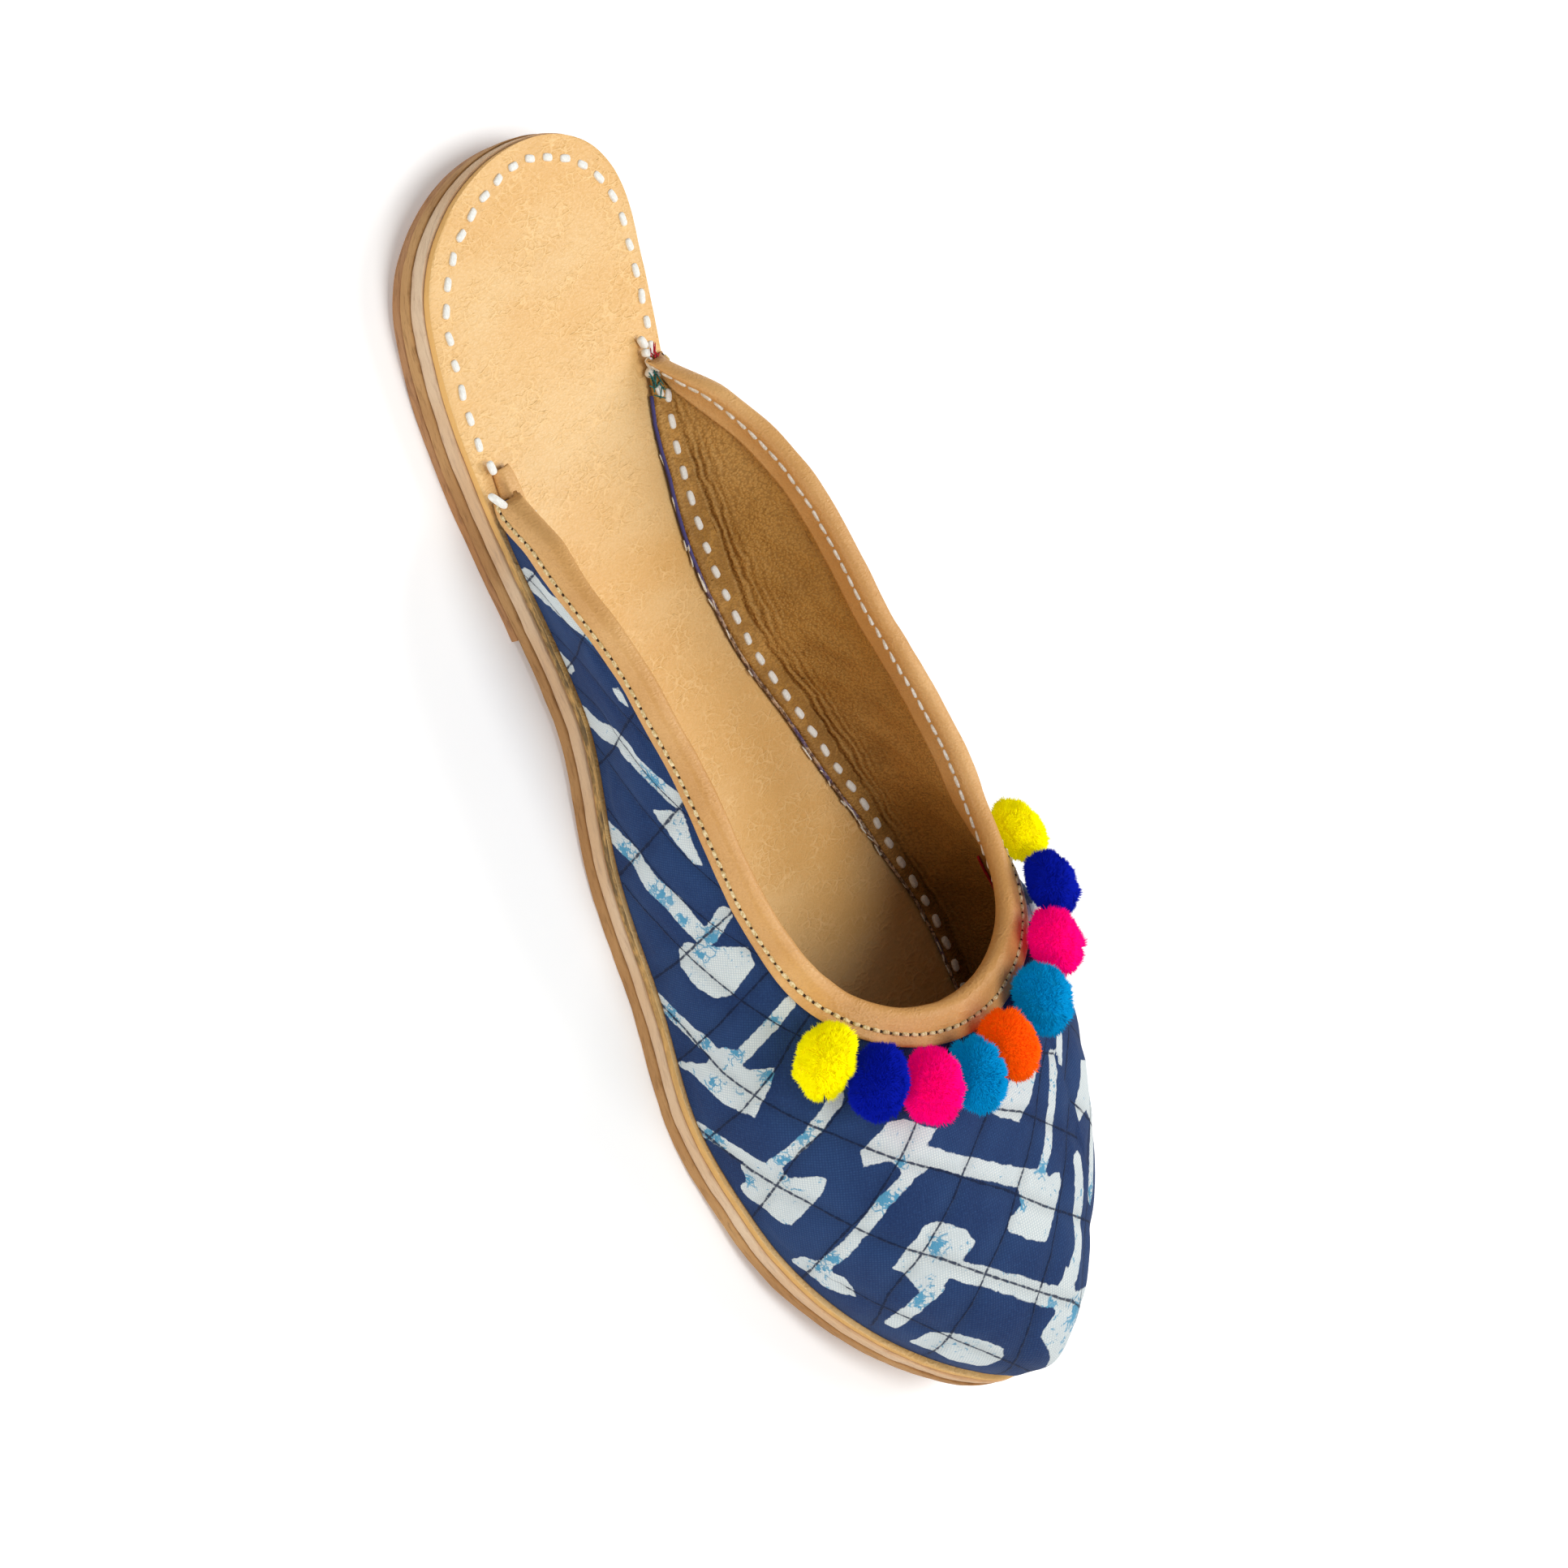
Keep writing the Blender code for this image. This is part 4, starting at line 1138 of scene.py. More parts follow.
def chart_seams(points):
    """Counting fields of both quilting directions and the distance to the nearest line, in millimetres."""
    far = points[:, 1] > MIRRORED_T
    folded = np.where(far[:, None], points * (1, -1), points)
    fields = [count_seams(folded, seams) for seams in (SEAMS_UP, SEAMS_DOWN)]
    gaps = [np.abs(field - np.round(field)) * SEAM_PITCH for field in fields]
    return fields[0], fields[1], np.minimum(*gaps)


flat_mm = fine_flat.reshape(-1, 2) * 1000
figure_edge, crackle = chart_print(flat_mm)
seam_up, seam_down, seam_distance = chart_seams(flat_mm)

# Upper

# Padding between the seams, and small rucks; both fade under the binding and at the sole
PUFF = 0.00045
PUFF_LEVEL = 0.55
PUCKER_REACH = 2.2
RUCK_SIZE = 0.016
RUCK_HEIGHT = 0.00018
SOLE_FADE = 0.004
BINDING_FADE = STRIP_WIDTH * 0.6
fine_points = dip_ends(in_frame(fine_net))
fine_normals = net_normals(fine_points)
room = np.clip(1 - np.linspace(0, 1, FINE_ROWS + 1), 0, 1)[None, :] * rib_lengths[:, None]
under_binding = np.clip((room - BINDING_FADE) / BINDING_FADE, 0, 1)
near_sole = np.clip((rib_lengths[:, None] - room) / SOLE_FADE, 0, 1)
puff = 1 - np.exp(-(seam_distance / PUCKER_REACH) ** 2)
puff = puff.reshape(fine_points.shape[:2]) * under_binding * near_sole
ruck = ripple(fine_points, RUCK_SIZE, 3) * RUCK_HEIGHT * under_binding * near_sole
swell = (puff - PUFF_LEVEL) * PUFF * under_binding * near_sole + ruck
outer = fine_points + fine_normals * swell[..., None]
outer[..., 2] = np.maximum(outer[..., 2], fine_points[:, :1, 2])

foot_run = run_along(fine_points[:, 0])
foot_height = np.linspace(0, 1, FINE_ROWS + 1)[None, :] * rib_lengths[:, None]
upper = sheet_from_net("upper_cloth", outer, fine_flat)
turn_faces_out(upper, (0.02, 0.0, 0.015))
for label, values in (
    ("figure_edge", figure_edge), ("crackle", crackle), ("seam_up", seam_up), ("seam_down", seam_down),
    ("foot_height", foot_height.reshape(-1) * 1000),
):
    add_attribute(upper, label, values)
set_materials(upper, (cloth, lining_leather))
apply_modifier(
    upper, "SOLIDIFY", thickness=WALL, offset=-1.0, use_rim=True, material_offset=1, material_offset_rim=1
)
finish_piece(upper, (), "upper", "upper")


def edge_inset(x, name):
    along = column(EDGE_ROWS, EDGE_COLUMNS, "along") * LENGTH
    return smooth(along, column(EDGE_ROWS, EDGE_COLUMNS, name), x)


# Turned-in lower edge over the insole, its raw edge thread and loose threads
TURN_STEPS = 12
TURN_START = 0.12
TURN_LUMP_SIZE = 0.006
TURN_LUMP = 0.00016
TUCK_PITCH = 0.0038
TUCK_SWAY = 0.012
TUCK_HEIGHT = 0.00014
RAW_EDGE_RADIUS = 0.00040
RAW_EDGE_DROP = 0.00022
turn_rows = []
for foot, _, out, _ in fine_ribs[::2]:
    share = np.linspace(1.0, TURN_START, TURN_STEPS)
    width = float(edge_inset(foot[0], "raw")) - FEATHER_INSET
    row = foot[None, :] - out[None, :] * (width * share)[:, None]
    row[:, 2] = insole_top(row[:, 0]) + GAP + FLANGE_THICKNESS * (0.40 + 0.60 * np.sqrt(1 - share ** 8))
    turn_rows.append(row)
turned = in_frame(np.array(turn_rows))
turned[..., 2] += TURN_LUMP * ripple(turned[..., :2], TURN_LUMP_SIZE, 5, 2)
tuck = np.sin(foot_run[::2] * 2 * math.pi / TUCK_PITCH + 2 * ripple(turned[:, 0], TUCK_SWAY, 6, 2))
turned[..., 2] += TUCK_HEIGHT * tuck[:, None] * np.linspace(0.1, 1.0, TURN_STEPS)[None, :]
turned_edge = sheet_from_net("turned_edge", turned)
turn_faces_out(turned_edge, (0.02, 0.0, -1.0))
apply_modifier(turned_edge, "SOLIDIFY", thickness=FLANGE_THICKNESS * 0.5, offset=-1.0, use_rim=True)
finish_piece(turned_edge, (lining_leather,), "upper")


TUBE_SIDES = 6


def tube_net(line, radius):
    """Rings of points round a line."""
    way = np.gradient(line, axis=0)
    way = way / np.linalg.norm(way, axis=1, keepdims=True)
    side = np.cross(way, (0.0, 0.0, 1.0))
    side = side / np.linalg.norm(side, axis=1, keepdims=True)
    up = np.cross(side, way)
    angles = np.linspace(0, 2 * math.pi, TUBE_SIDES, endpoint=False)
    ring = np.cos(angles)[None, :, None] * side[:, None] + np.sin(angles)[None, :, None] * up[:, None]
    return line[:, None] + ring * radius


raw_line = turned[2:-2, 0] + np.array((0.0, 0.0, -RAW_EDGE_DROP))

# Collar binding

STRIP_STEPS = 9
FACING_STEPS = 13
ROLL_STEPS = 14
BINDING_LIFT = 0.0009
# Longest strip and facing as shares of a rib, and half the step over which a rib's direction is read
STRIP_LIMIT = 0.97
FACING_LIMIT = 0.68
RIB_PROBE = 0.004


def binding_profile(ribs, lengths):
    """Outer face of the folded strip on each rib: outer strip, roll over the edge, inner facing."""
    rows = []
    heads = np.array([rib[1] for rib in ribs])
    gone = run_along(heads)
    run = 1 - np.abs(2 * gone / gone[-1] - 1)
    runs = column(BINDING_ROWS, BINDING_COLUMNS, "run")
    strip = smooth(runs, column(BINDING_ROWS, BINDING_COLUMNS, "strip"), run)
    facing = smooth(runs, column(BINDING_ROWS, BINDING_COLUMNS, "facing"), run)
    strip = np.minimum(strip / lengths, STRIP_LIMIT)
    facing = np.minimum(facing / lengths, FACING_LIMIT)
    top = STRIP_STEPS
    for rib, s, f in zip(ribs, strip, facing):
        outer_shares = np.linspace(1 - s, 1.0, STRIP_STEPS + 1)
        shares = np.concatenate((outer_shares, np.linspace(1 - f, 1.0, FACING_STEPS + 1)))
        points = rib_curve(rib, np.clip(shares, 0, 1))[0]
        ahead = rib_curve(rib, np.clip(shares + RIB_PROBE, 0, 1))[0]
        behind = rib_curve(rib, np.clip(shares - RIB_PROBE, 0, 1))[0]
        up = ahead - behind
        up = up / np.linalg.norm(up, axis=1, keepdims=True)
        normal = np.outer(up[:, 2], rib[2]) - np.outer(up @ rib[2], (0.0, 0.0, 1.0))
        normal = normal / np.linalg.norm(normal, axis=1, keepdims=True)
        top_up = up[top] - normal[top] * np.dot(up[top], normal[top])
        top_up = top_up / np.linalg.norm(top_up)
        middle = points[top] - normal[top] * WALL / 2
        radius = WALL / 2 + BINDING_LIFT
        angles = np.linspace(0, math.pi, ROLL_STEPS)
        roll = middle + (np.cos(angles)[:, None] * normal[top] + np.sin(angles)[:, None] * top_up) * radius
        outside = points[:top] + normal[:top] * BINDING_LIFT
        inner = slice(top + 1, top + 1 + FACING_STEPS)
        inside = (points[inner] - normal[inner] * (WALL + BINDING_LIFT))[::-1]
        rows.append(np.vstack((outside, roll, inside)))
    return np.array(rows)


binding_net = dip_ends(in_frame(binding_profile(fine_ribs, rib_lengths)))
binding_normals = net_normals(binding_net)
# Rows of the profile that carry stitches, the grooves the stitches pull in, and the leather's lumps
STITCH_ROW = 4
FACING_STITCH_ROW = STRIP_STEPS + ROLL_STEPS + 1
GROOVE_ROWS = 0.9
STRIP_GROOVE = 0.00016
FACING_GROOVE = 0.00014
BINDING_LUMP_SIZE = 0.011
BINDING_LUMP = 0.00014
profile_rows = np.arange(binding_net.shape[1])
groove = np.exp(-((profile_rows - STITCH_ROW) / GROOVE_ROWS) ** 2) * STRIP_GROOVE
groove = groove + np.exp(-((profile_rows - FACING_STITCH_ROW) / GROOVE_ROWS) ** 2) * FACING_GROOVE
lumps = ripple(binding_net, BINDING_LUMP_SIZE, 8, 2) * BINDING_LUMP
binding_net = binding_net + binding_normals * (lumps - groove[None, :])[..., None]
binding = sheet_from_net("collar_binding_leather", binding_net)
turn_faces_out(binding, (0.0, 0.0, -0.5))
apply_modifier(binding, "SOLIDIFY", thickness=BINDING_LIFT * 0.85, offset=-1.0, use_rim=True)
finish_piece(binding, (binding_leather,), "collar_binding", "collar_binding")


def along_line(points, pitch, first):
    """Places at a pitch along a line of points: position and direction."""
    run = run_along(points)
    spots = np.arange(first * pitch, run[-1], pitch)
    where = np.column_stack([np.interp(spots, run, points[:, k]) for k in range(3)])
    ahead = np.column_stack([np.interp(spots + pitch * 0.1, run, points[:, k]) for k in range(3)])
    way = ahead - where
    size = np.linalg.norm(way, axis=1, keepdims=True)
    way = np.where(size > 1e-9, way / np.maximum(size, 1e-9), np.array((1.0, 0.0, 0.0)))
    return where, way, spots / run[-1]


def stitch_places(points, normals, pitch, length, width, rise, jitter, first=0.5):
    """Origins and scaled axes of stitches that lie on a line with given normals."""
    where, way, share = along_line(points, pitch, first)
    index = np.clip((share * (len(points) - 1)).astype(int), 0, len(points) - 1)
    places = []
    for spot, forward, i in zip(where, way, index):
        normal = normals[i]
        forward = forward - normal * np.dot(forward, normal)
        forward = forward / np.linalg.norm(forward)
        side = np.cross(normal, forward)
        turn = RNG.uniform(-1, 1) * jitter
        turned_way = forward * math.cos(turn) + side * math.sin(turn)
        side = np.cross(normal, turned_way)
        scale = 1 + RNG.uniform(-1, 1) * jitter * 0.6
        places.append((spot, turned_way * length * scale, side * width, normal * rise))
    return places


# One stitch: a ball drawn out towards a rounded block
STITCH_SQUARENESS = 0.62
ball_verts, stitch_faces = template_of(
    bpy.ops.mesh.primitive_uv_sphere_add, segments=12, ring_count=7, radius=1.0
)
stitch_shape = (0.5 * np.sign(ball_verts) * np.abs(ball_verts) ** STITCH_SQUARENESS, stitch_faces)

# Sizes of the collar's stitches and needle holes, metres; jitter in radians. The holes are dark blobs: painted
# shade in the needle holes.
STRIP_STITCH = {"pitch": 0.0020, "length": 0.0016, "width": 0.0008, "rise": 0.0008, "jitter": 0.12}
STRIP_HOLE = {
    "pitch": 0.0020, "length": 0.0006, "width": 0.00055, "rise": 0.0003, "jitter": 0.1, "first": 1.0,
}
HOLE_LIFT = 0.00005
FACING_STITCH = {"pitch": 0.0027, "length": 0.0024, "width": 0.0008, "rise": 0.0008, "jitter": 0.08}

strip_line = binding_net[:, STITCH_ROW]
strip_normals = net_normals(binding_net)[:, STITCH_ROW]
if np.dot(strip_normals[len(strip_normals) // 2], (0, 0, 1)) < 0:
    strip_normals = -strip_normals
strip_stitches = joined_copies(
    "strip_stitches", stitch_shape, stitch_places(strip_line, strip_normals, **STRIP_STITCH)
)
finish_piece(strip_stitches, (gold_thread,), "collar_binding")

strip_holes = joined_copies(
    "strip_holes", stitch_shape,
    stitch_places(strip_line + strip_normals * HOLE_LIFT, strip_normals, **STRIP_HOLE),
)
finish_piece(strip_holes, (hole_shade,), "collar_binding")

facing_line = binding_net[:, FACING_STITCH_ROW]
facing_normals = net_normals(binding_net)[:, FACING_STITCH_ROW]
facing_stitches = joined_copies(
    "facing_stitches", stitch_shape, stitch_places(facing_line, facing_normals, **FACING_STITCH)
)
finish_piece(facing_stitches, (white_thread,), "collar_binding")

# Sole layers

SOLE_STATIONS = 170
ACROSS = 36
EDGE_STEPS = 6
# A cut edge's rounding and bulge, the half width under which both fade out, and its slow wave, metres
EDGE_ROUND = 0.0002
EDGE_BULGE = 0.00022
NARROW_END = 0.006
EDGE_WAVE = 0.012
CRISP_ANGLE = math.radians(50)


def sole_net(inset, bottom, top, seed, end=LENGTH, roughness=0.00018):
    """Closed cross-sections of a leather layer along the sole, its cut edge slightly uneven."""
    stations = LENGTH * crowded_ends(SOLE_STATIONS)
    if end < LENGTH:
        stations = np.append(stations[stations < end - 0.0012], end)
    share = np.linspace(-1, 1, ACROSS)
    share = np.sign(share) * np.abs(share) ** 0.8
    x, right, left = side_points(stations, inset)
    middle = (right + left) / 2
    half = (left - right) / 2
    low = bottom(x)
    high = top(x)
    rise = crowded_ends(EDGE_STEPS + 2)[1:-1]
    bulge = np.sqrt(np.clip(1 - (2 * rise - 1) ** 4, 0, 1)) * EDGE_BULGE
    rows = []
    for i in range(len(stations)):
        pull = min(1.0, half[i] / NARROW_END)
        across = middle[i] + share * (half[i] - EDGE_ROUND * pull)
        face_x = np.full(ACROSS, x[i])
        edge_x = np.full(EDGE_STEPS, x[i])
        upper_face = np.column_stack((face_x, across, np.full(ACROSS, high[i])))
        lower_face = np.column_stack((face_x, across, np.full(ACROSS, low[i])))
        plus_y = left[i] - EDGE_ROUND * pull + bulge * pull
        plus = np.column_stack((edge_x, plus_y, high[i] + (low[i] - high[i]) * rise))
        minus_y = right[i] + EDGE_ROUND * pull - bulge * pull
        minus = np.column_stack((edge_x, minus_y, low[i] + (high[i] - low[i]) * rise))
        rows.append(np.vstack((upper_face, plus, lower_face[::-1], minus)))
    net = in_frame(np.array(rows))
    uneven = ripple(net, EDGE_WAVE, seed, 4) * roughness
    side = np.zeros(net.shape[1])
    side[ACROSS - 1:ACROSS + EDGE_STEPS + 1] = 1.0
    side[-EDGE_STEPS - 1:] = -1.0
    side[0] = -1.0
    fade = np.minimum(1.0, half / NARROW_END)[:, None]
    net[..., 1] += uneven * side[None, :] * fade
    return net


def ring_solid(name, net):
    """Closed solid through closed cross-sections: a grid bent round, its seam and ends closed."""
    wrapped = np.concatenate((net, net[:, :1]), axis=1)
    piece = sheet_from_net(name, wrapped)
    select_only(piece)
    bpy.ops.object.mode_set(mode="EDIT")
    bpy.ops.mesh.select_all(action="SELECT")
    bpy.ops.mesh.remove_doubles(threshold=0.000002)
    bpy.ops.mesh.select_all(action="DESELECT")
    bpy.ops.mesh.select_non_manifold()
    bpy.ops.mesh.edge_face_add()
    bpy.ops.mesh.select_all(action="SELECT")
    bpy.ops.mesh.normals_make_consistent(inside=False)
    bpy.ops.object.mode_set(mode="OBJECT")
    return piece


def sole_piece(name, net, made, node):
    """A sole layer with crisp upper and lower edges, in place of the node's hidden solid."""
    piece = ring_solid(name, net)
    finish_piece(piece, (made,), node, node)
    select_only(piece)
    bpy.ops.object.shade_smooth_by_angle(angle=CRISP_ANGLE)
    return piece


lift_net = sole_net(0.0002, heel_rise, lambda x: underside(x) - GAP * 0.6, 21, LIFT_LENGTH)
outsole_net = sole_net(0.0, underside, outsole_top, 22)
midsole_net = sole_net(0.0003, lambda x: outsole_top(x) + GAP * 0.3, midsole_top, 23)
insole_net = sole_net(0.0007, lambda x: midsole_top(x) + GAP * 0.3, insole_top, 24, roughness=0.00012)
sole_piece("heel_lift_leather", lift_net, lift_edge, "heel_lift")
sole_piece("outsole_leather", outsole_net, outsole_edge, "outsole")
sole_piece("midsole_leather", midsole_net, midsole_edge, "midsole")
insole_sheet = sole_piece("insole_leather_sheet", insole_net, insole_leather, "insole")
# Faces that look sideways are the insole's cut edge
SIDE_FACE = 0.6
insole_sheet.data.materials.append(insole_edge)
for face in insole_sheet.data.polygons:
    face.material_index = int(abs(face.normal.z) < SIDE_FACE)

raw_thread = ring_solid("raw_edge_thread", tube_net(raw_line, RAW_EDGE_RADIUS))
finish_piece(raw_thread, (raw_edge,), "upper")
# Loose threads along the raw edge: number, sizes, and how far they turn and stray from it
FLUFF_COUNT = 150
FLUFF_THICK = 0.00028
FLUFF_LENGTHS = (0.0015, 0.0042)
FLUFF_TURN = 0.16
FLUFF_ASIDE = (-0.0002, 0.0007)
FLUFF_UP = (-0.0002, 0.0002)
loose = []
for _ in range(FLUFF_COUNT):
    at = int(RNG.integers(4, len(raw_line) - 4))
    forward = raw_line[at + 2] - raw_line[at - 2]
    forward = forward / np.linalg.norm(forward) + RNG.normal(scale=FLUFF_TURN, size=3) * (1, 1, 0.3)
    side = np.cross((0.0, 0.0, 1.0), forward)
    spot = raw_line[at] + side * RNG.uniform(*FLUFF_ASIDE)
    spot = spot + np.array((0, 0, RNG.uniform(*FLUFF_UP)))
    length = RNG.uniform(*FLUFF_LENGTHS)
    loose.append((spot, forward * length, side * FLUFF_THICK, np.array((0, 0, FLUFF_THICK))))
loose_threads = joined_copies("raw_edge_fluff", stitch_shape, loose)
finish_piece(loose_threads, (white_thread,), "upper")

# Cord stitches through the insole and the turned-in edge
CORD_PITCH = 0.0048
CORD_END = 0.19
CORD_STATIONS = 500
CORD_STITCH = {
    "pitch": CORD_PITCH, "length": 0.0026, "width": 0.0015, "rise": 0.0010, "jitter": 0.22, "first": 0.75,
}
TAB_STITCH_PLACE = (0.0540, -0.0290, 0.0)
cord_stations = LENGTH * crowded_ends(CORD_STATIONS)
cx, cright, cleft = side_points(cord_stations, edge_inset(cord_stations, "cord"))
keep = cx < CORD_END
cord_right = np.column_stack((cx, cright))[keep][::-1]
cord_left = np.column_stack((cx, cleft))[keep][1:]
cord_line = np.vstack((cord_right, cord_left))
on_edge = np.clip((cord_line[:, 0] - COLLAR_START + 0.002) / 0.003, 0, 1)
cord_height = insole_top(cord_line[:, 0]) + on_edge * (GAP + FLANGE_THICKNESS) + 0.00005
cord_points = in_frame(np.column_stack((cord_line, cord_height)))
cord_normals = np.tile((0.0, 0.0, 1.0), (len(cord_points), 1))
under_tab = in_frame(TAB_STITCH_PLACE)
cord_places = []
for place in stitch_places(cord_points, cord_normals, **CORD_STITCH):
    if np.linalg.norm((place[0] - under_tab)[:2]) > CORD_PITCH * 0.6:
        cord_places.append(place)
cord_stitches = joined_copies("cord_stitches", stitch_shape, cord_places)
finish_piece(cord_stitches, (white_cord,), "insole")

# Ends of the collar: a folded tab, its bar stitch and loose threads on one side, frayed knots on the other
TAB_LINE = ((0.0590, -0.0262), (0.0565, -0.0258), (0.0535, -0.0255), (0.0510, -0.0254), (0.0497, -0.0254))
TAB_HALF = (0.0022, 0.0023, 0.0022, 0.0021, 0.0018)
TAB_HEIGHT = (0.0030, 0.0029, 0.0026, 0.0023, 0.0019)
TAB_STEPS = 13
TAB_FOOT = 0.0004
TAB_THICK = 0.0007
TAB_SQUARENESS = 7
TAB_LEAN = 0.12
tab_rows = []
for (x, y), half, high in zip(TAB_LINE, TAB_HALF, TAB_HEIGHT):
    share = np.linspace(-1, 1, TAB_STEPS)
    dome = np.sqrt(np.clip(1 - np.abs(share) ** TAB_SQUARENESS, 0, 1)) * (1 - TAB_LEAN * share)
    tab_z = insole_top(x) + TAB_FOOT + (high - TAB_FOOT) * dome
    tab_rows.append(np.column_stack((np.full(TAB_STEPS, x), y + share * half, tab_z)))
tab = sheet_from_net("end_tab", in_frame(np.array(tab_rows)))
turn_faces_out(tab, (-0.07, -0.026, -1.0))
apply_modifier(tab, "SUBSURF", levels=2, render_levels=2)
apply_modifier(tab, "SOLIDIFY", thickness=TAB_THICK, offset=-1.0, use_rim=True)
finish_piece(tab, (binding_leather,), "collar_binding")


def strand(spot, way, length, thick):
    """Place of one thin thread piece."""
    way = np.asarray(way, float) / np.linalg.norm(way)
    side = np.cross((0.0, 0.0, 1.0), way)
    side = side / max(np.linalg.norm(side), 1e-9)
    return in_frame(spot), way * length, side * thick, np.cross(way, side) * thick


BAR_PLACE = (0.0541, -0.0313, 0.0116)
BAR_WAY = (3.37, 1.90, 1.00)
BAR_LENGTH = 0.0042
BAR_THICK = 0.0013
bar = strand(BAR_PLACE, BAR_WAY, BAR_LENGTH, BAR_THICK)
finish_piece(joined_copies("bar_stitch", stitch_shape, [bar]), (white_cord,), "collar_binding")

tab_top = float(insole_top(0.0575)) + 0.0028
loose_white = [
    strand((0.0578, -0.0274, tab_top), (0.5, 1.0, -0.1), 0.0028, 0.0006),
    strand((0.0588, -0.0250, tab_top), (0.2, 1.0, -0.2), 0.0030, 0.0004),
    strand((0.0594, -0.0228, tab_top - 0.0012), (0.3, 1.0, -0.4), 0.0034, 0.00025),
    strand((0.0600, -0.0236, tab_top - 0.0010), (0.9, 0.6, -0.3), 0.0026, 0.00025),
]
finish_piece(joined_copies("tab_threads", stitch_shape, loose_white), (white_thread,), "collar_binding")

# Knots of cord: place from the heel end, height over the insole, turn in radians, length in millimetres
KNOTS = (
    (0.0440, 0.0204, 0.0010, 0.3, 2.6),
    (0.0460, 0.0200, 0.0014, 1.1, 2.4),
    (0.0478, 0.0196, 0.0016, 0.2, 2.2),
    (0.0496, 0.0203, 0.0016, 0.5, 2.8),
    (0.0494, 0.0189, 0.0012, 2.2, 1.8),
    (0.0532, 0.0189, 0.0016, 0.0, 2.4),
)
KNOT_WIDTH = 1.5 * MM
KNOT_RISE = 1.4 * MM
knot_places = []
for x, y, high, turn, size in KNOTS:
    way = np.array((math.cos(turn), math.sin(turn), 0.0))
    side = np.array((-math.sin(turn), math.cos(turn), 0.0))
    spot = in_frame((x, y, float(insole_top(x)) + high))
    knot_places.append((spot, way * size * MM, side * KNOT_WIDTH, np.array((0, 0, KNOT_RISE))))
finish_piece(joined_copies("end_knots", stitch_shape, knot_places), (white_cord,), "collar_binding")

FRAY_THICK = 0.00022
FRAY_FLOOR = 0.0005


def fuzz(name, middle, spread, count, length, made):
    """Short loose threads strewn round a place, above the insole."""
    places = []
    for _ in range(count):
        spot = np.asarray(middle) + RNG.normal(size=3) * np.asarray(spread)
        spot[2] = max(spot[2], float(insole_top(spot[0])) + FRAY_FLOOR)
        way = RNG.normal(size=3) * (1, 0.6, 0.4)
        places.append(strand(spot, way, length * RNG.uniform(0.6, 1.3), FRAY_THICK))
    finish_piece(joined_copies(name, stitch_shape, places), (made,), "collar_binding")


knot_top = float(insole_top(0.047)) + 0.0024
red_middle = (0.0468, 0.0207, knot_top)
teal_middle = (0.0516, 0.0192, knot_top - 0.0006)
fuzz("red_fray", red_middle, (0.0012, 0.0006, 0.0003), 9, 0.0030, red_thread)
fuzz("teal_fray", teal_middle, (0.0013, 0.0007, 0.0004), 30, 0.0024, teal_thread)

# Red thread on the lining: coarse ribs and shares of their height that it passes
MARK_SPOTS = ((87, 0.56), (86, 0.50), (85, 0.46), (84, 0.42))
MARK_STEPS = 16
MARK_RADIUS = 0.00028
mark_spots = []
for rib_number, row_share in MARK_SPOTS:
    i = rib_number * FINE - END_TRIM
    j = int(row_share * FINE_ROWS)
    mark_spots.append(fine_points[i, j] - fine_normals[i, j] * (WALL + 0.0001))
mark_spots = np.array(mark_spots)
spot_numbers = np.arange(len(mark_spots))
mark_run = np.linspace(0, len(mark_spots) - 1, MARK_STEPS)
mark_line = np.column_stack([np.interp(mark_run, spot_numbers, mark_spots[:, k]) for k in range(3)])
finish_piece(ring_solid("red_mark", tube_net(mark_line, MARK_RADIUS)), (red_thread,), "upper")

# Pompoms

FIBRES = 7500
TUFTS = 130
FIBRE_THICK = 0.00019
FIBRE_CORNERS = (0.0, 2.094, 4.189)
FIBRE_FACES = ((0, 1, 3), (1, 2, 3), (2, 0, 3), (0, 2, 1))
# Shares of the solid's radius: the core's skin, the fibres' roots and tips, and the lumps
CORE_SHARE = 0.93
ROOT_SHARE = 0.84
TIP_SHARES = (1.03, 1.13)
TUFT_REACH = 0.04
LUMP = 0.05
LUMP_SIZE = 0.55
# How far a fibre's tip leans to its tuft, and how sharply the solid's nearest points set a radius
TUFT_PULL = 0.38
RADIUS_SHARPNESS = 60


def spread_on_ball(count):
    """Directions spread evenly over a ball."""
    index = np.arange(count) + 0.5
    z = 1 - 2 * index / count
    turn = index * math.pi * (3 - math.sqrt(5))
    flat = np.sqrt(1 - z * z)
    return np.column_stack((flat * np.cos(turn), flat * np.sin(turn), z))


def solid_radius(node, seed):
    """Middle of a pompom's solid, and a function that gives its lumpy radius in given directions."""
    solid = np.array([v.co for v in node.data.vertices])
    centre = (solid.max(0) + solid.min(0)) / 2
    rays = solid - centre
    reach = np.linalg.norm(rays, axis=1)
    rays = rays / reach[:, None]

    def radius(ways):
        near = np.clip(ways @ rays.T, 0, 1) ** RADIUS_SHARPNESS
        return (near @ reach) / near.sum(axis=1) * (1 + LUMP * ripple(ways, LUMP_SIZE, seed, 2))

    return centre, radius


def pompom_core(centre, radius):
    """Inner ball that closes the view between the fibres; with no tip value it takes the yarn's dark root
    colour, as painted shade deep in the pompom.
    """
    bpy.ops.object.select_all(action="DESELECT")
    bpy.ops.mesh.primitive_ico_sphere_add(subdivisions=4, radius=1.0)
    core = bpy.context.object
    ways = np.array([v.co for v in core.data.vertices])
    skin = centre + ways * (radius(ways) * CORE_SHARE)[:, None]
    core.data.vertices.foreach_set("co", skin.reshape(-1))
    return core


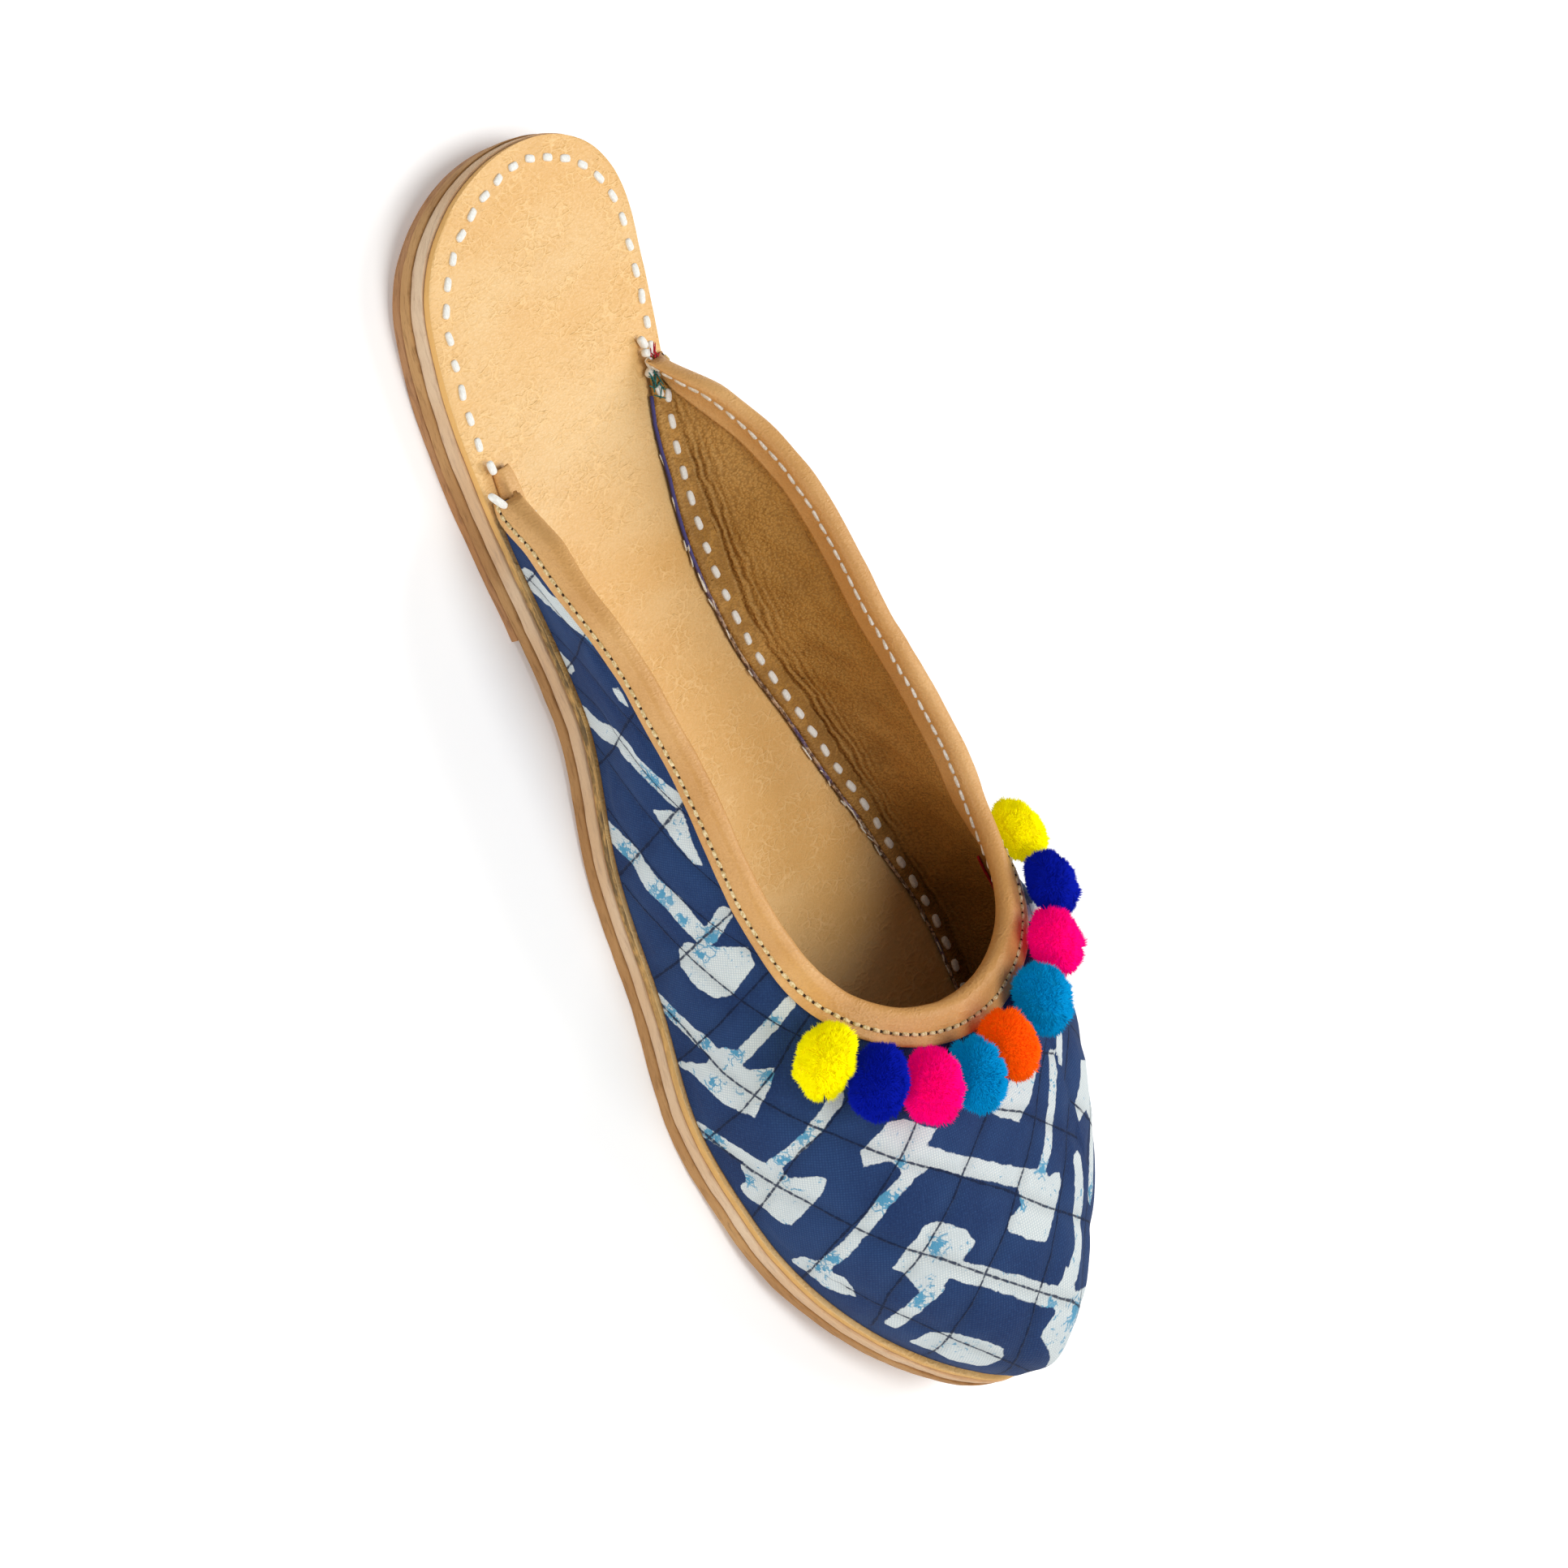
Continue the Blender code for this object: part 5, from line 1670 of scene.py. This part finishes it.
def pompom_fibres(name, centre, radius):
    """Cut yarn ends: thin three-sided spikes that lean together in tufts."""
    ways = spread_on_ball(FIBRES) + RNG.normal(scale=0.035, size=(FIBRES, 3))
    ways = ways / np.linalg.norm(ways, axis=1, keepdims=True)
    full = radius(ways)
    tuft_ways = spread_on_ball(TUFTS) + RNG.normal(scale=0.05, size=(TUFTS, 3))
    nearest = np.argmax(ways @ tuft_ways.T, axis=1)
    tuft_reach = RNG.uniform(-TUFT_REACH, TUFT_REACH, TUFTS)
    tips = ways * (1 - TUFT_PULL) + tuft_ways[nearest] * TUFT_PULL
    tips = tips + RNG.normal(scale=0.07, size=(FIBRES, 3))
    tips = tips / np.linalg.norm(tips, axis=1, keepdims=True)
    tip_share = RNG.uniform(*TIP_SHARES, FIBRES) + tuft_reach[nearest]
    side = np.cross(ways, RNG.normal(size=(FIBRES, 3)))
    side = side / np.linalg.norm(side, axis=1, keepdims=True)
    other = np.cross(ways, side)
    roots = centre + ways * (full * ROOT_SHARE)[:, None]
    verts = np.empty((FIBRES, 4, 3))
    for k, angle in enumerate(FIBRE_CORNERS):
        verts[:, k] = roots + (side * math.cos(angle) + other * math.sin(angle)) * FIBRE_THICK
    verts[:, 3] = centre + tips * (full * tip_share)[:, None]
    base = np.arange(FIBRES)[:, None] * 4
    faces = np.concatenate([base + np.array(face) for face in FIBRE_FACES])
    mesh = bpy.data.meshes.new(name)
    mesh.from_pydata(verts.reshape(-1, 3).tolist(), [], faces.tolist())
    fibres = bpy.data.objects.new(name, mesh)
    bpy.context.scene.collection.objects.link(fibres)
    # Tips 1, roots 0: the yarn is painted darker towards the roots, as shade
    add_attribute(fibres, "tip", np.tile((0.0, 0.0, 0.0, 1.0), FIBRES))
    return fibres


def make_pompom(number, colour):
    """One pompom in place of its solid: the core and the fibres as one mesh."""
    node_name = "pompom_%d" % number
    centre, radius = solid_radius(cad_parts[node_name], 40 + number)
    core = pompom_core(centre, radius)
    fibres = pompom_fibres("pompom_fibres_%d" % number, centre, radius)
    select_only(core)
    fibres.select_set(True)
    bpy.ops.object.join()
    core.name = "pompom_yarn_%d" % number
    core.data.name = core.name
    finish_piece(core, (yarns[colour],), "yarn_" + colour, node_name)


for pom_number, pom_colour in enumerate(POM_COLOURS):
    make_pompom(pom_number + 1, pom_colour)

# Floor, light and camera

WHITE = (1.0, 1.0, 1.0)
FLOOR_SIZE = 6.0
FLOOR_COLOUR = (0.92, 0.92, 0.92)
FLOOR_GLOW = 0.22
WORLD_GLOW = 0.25
# Round softboxes: name, place, size and power
LIGHT_AIM = (0.0, 0.0, 0.02)
LIGHTS = (
    ("softbox_main", (0.20, 0.85, 0.85), 0.8, 8.0),
    ("softbox_above", (0.25, -0.15, 1.30), 0.9, 10.4),
    ("softbox_low", (0.10, -1.15, 0.20), 0.5, 4.0),
)
SENSOR_WIDTH = 36.0
FOCAL_LENGTH = 113.39
CLIP_START = 0.01
CAMERA_PLACE = (-0.221723, -0.630514, 0.617066)
IMAGE_RIGHT = (0.365127, 0.568929, 0.736887)
IMAGE_DOWN = (0.897480, -0.425470, -0.116208)
VIEW_WAY = (0.247409, 0.703772, -0.665953)

bpy.ops.object.select_all(action="DESELECT")
bpy.ops.mesh.primitive_plane_add(size=FLOOR_SIZE, location=(0, 0, 0))
floor = bpy.context.object
floor.name = "floor"
paper = Net("floor_paper", 0.9)
paper.colour(FLOOR_COLOUR)
paper.glow(WHITE, FLOOR_GLOW)
floor.data.materials.append(paper.material)

world = bpy.data.worlds.new("studio")
bpy.context.scene.world = world
world.use_nodes = True
sky = world.node_tree.nodes["Background"]
sky.inputs["Color"].default_value = (*WHITE, 1.0)
sky.inputs["Strength"].default_value = WORLD_GLOW


def softbox(name, where, size, power):
    """A round white area light that looks at the slipper."""
    light = bpy.data.lights.new(name, "AREA")
    light.shape = "DISK"
    light.size = size
    light.energy = power
    light.color = WHITE
    lamp = bpy.data.objects.new(name, light)
    bpy.context.scene.collection.objects.link(lamp)
    lamp.location = where
    lamp.rotation_euler = (Vector(LIGHT_AIM) - Vector(where)).to_track_quat("-Z", "Y").to_euler()


for light_values in LIGHTS:
    softbox(*light_values)

lens = bpy.data.cameras.new("camera")
lens.sensor_width = SENSOR_WIDTH
lens.lens = FOCAL_LENGTH
lens.clip_start = CLIP_START
camera = bpy.data.objects.new("camera", lens)
bpy.context.scene.collection.objects.link(camera)
axes = Matrix((IMAGE_RIGHT, [-c for c in IMAGE_DOWN], [-c for c in VIEW_WAY])).transposed()
camera.matrix_world = Matrix.Translation(CAMERA_PLACE) @ axes.to_4x4()
bpy.context.scene.camera = camera
bpy.context.scene.view_settings.view_transform = "Standard"
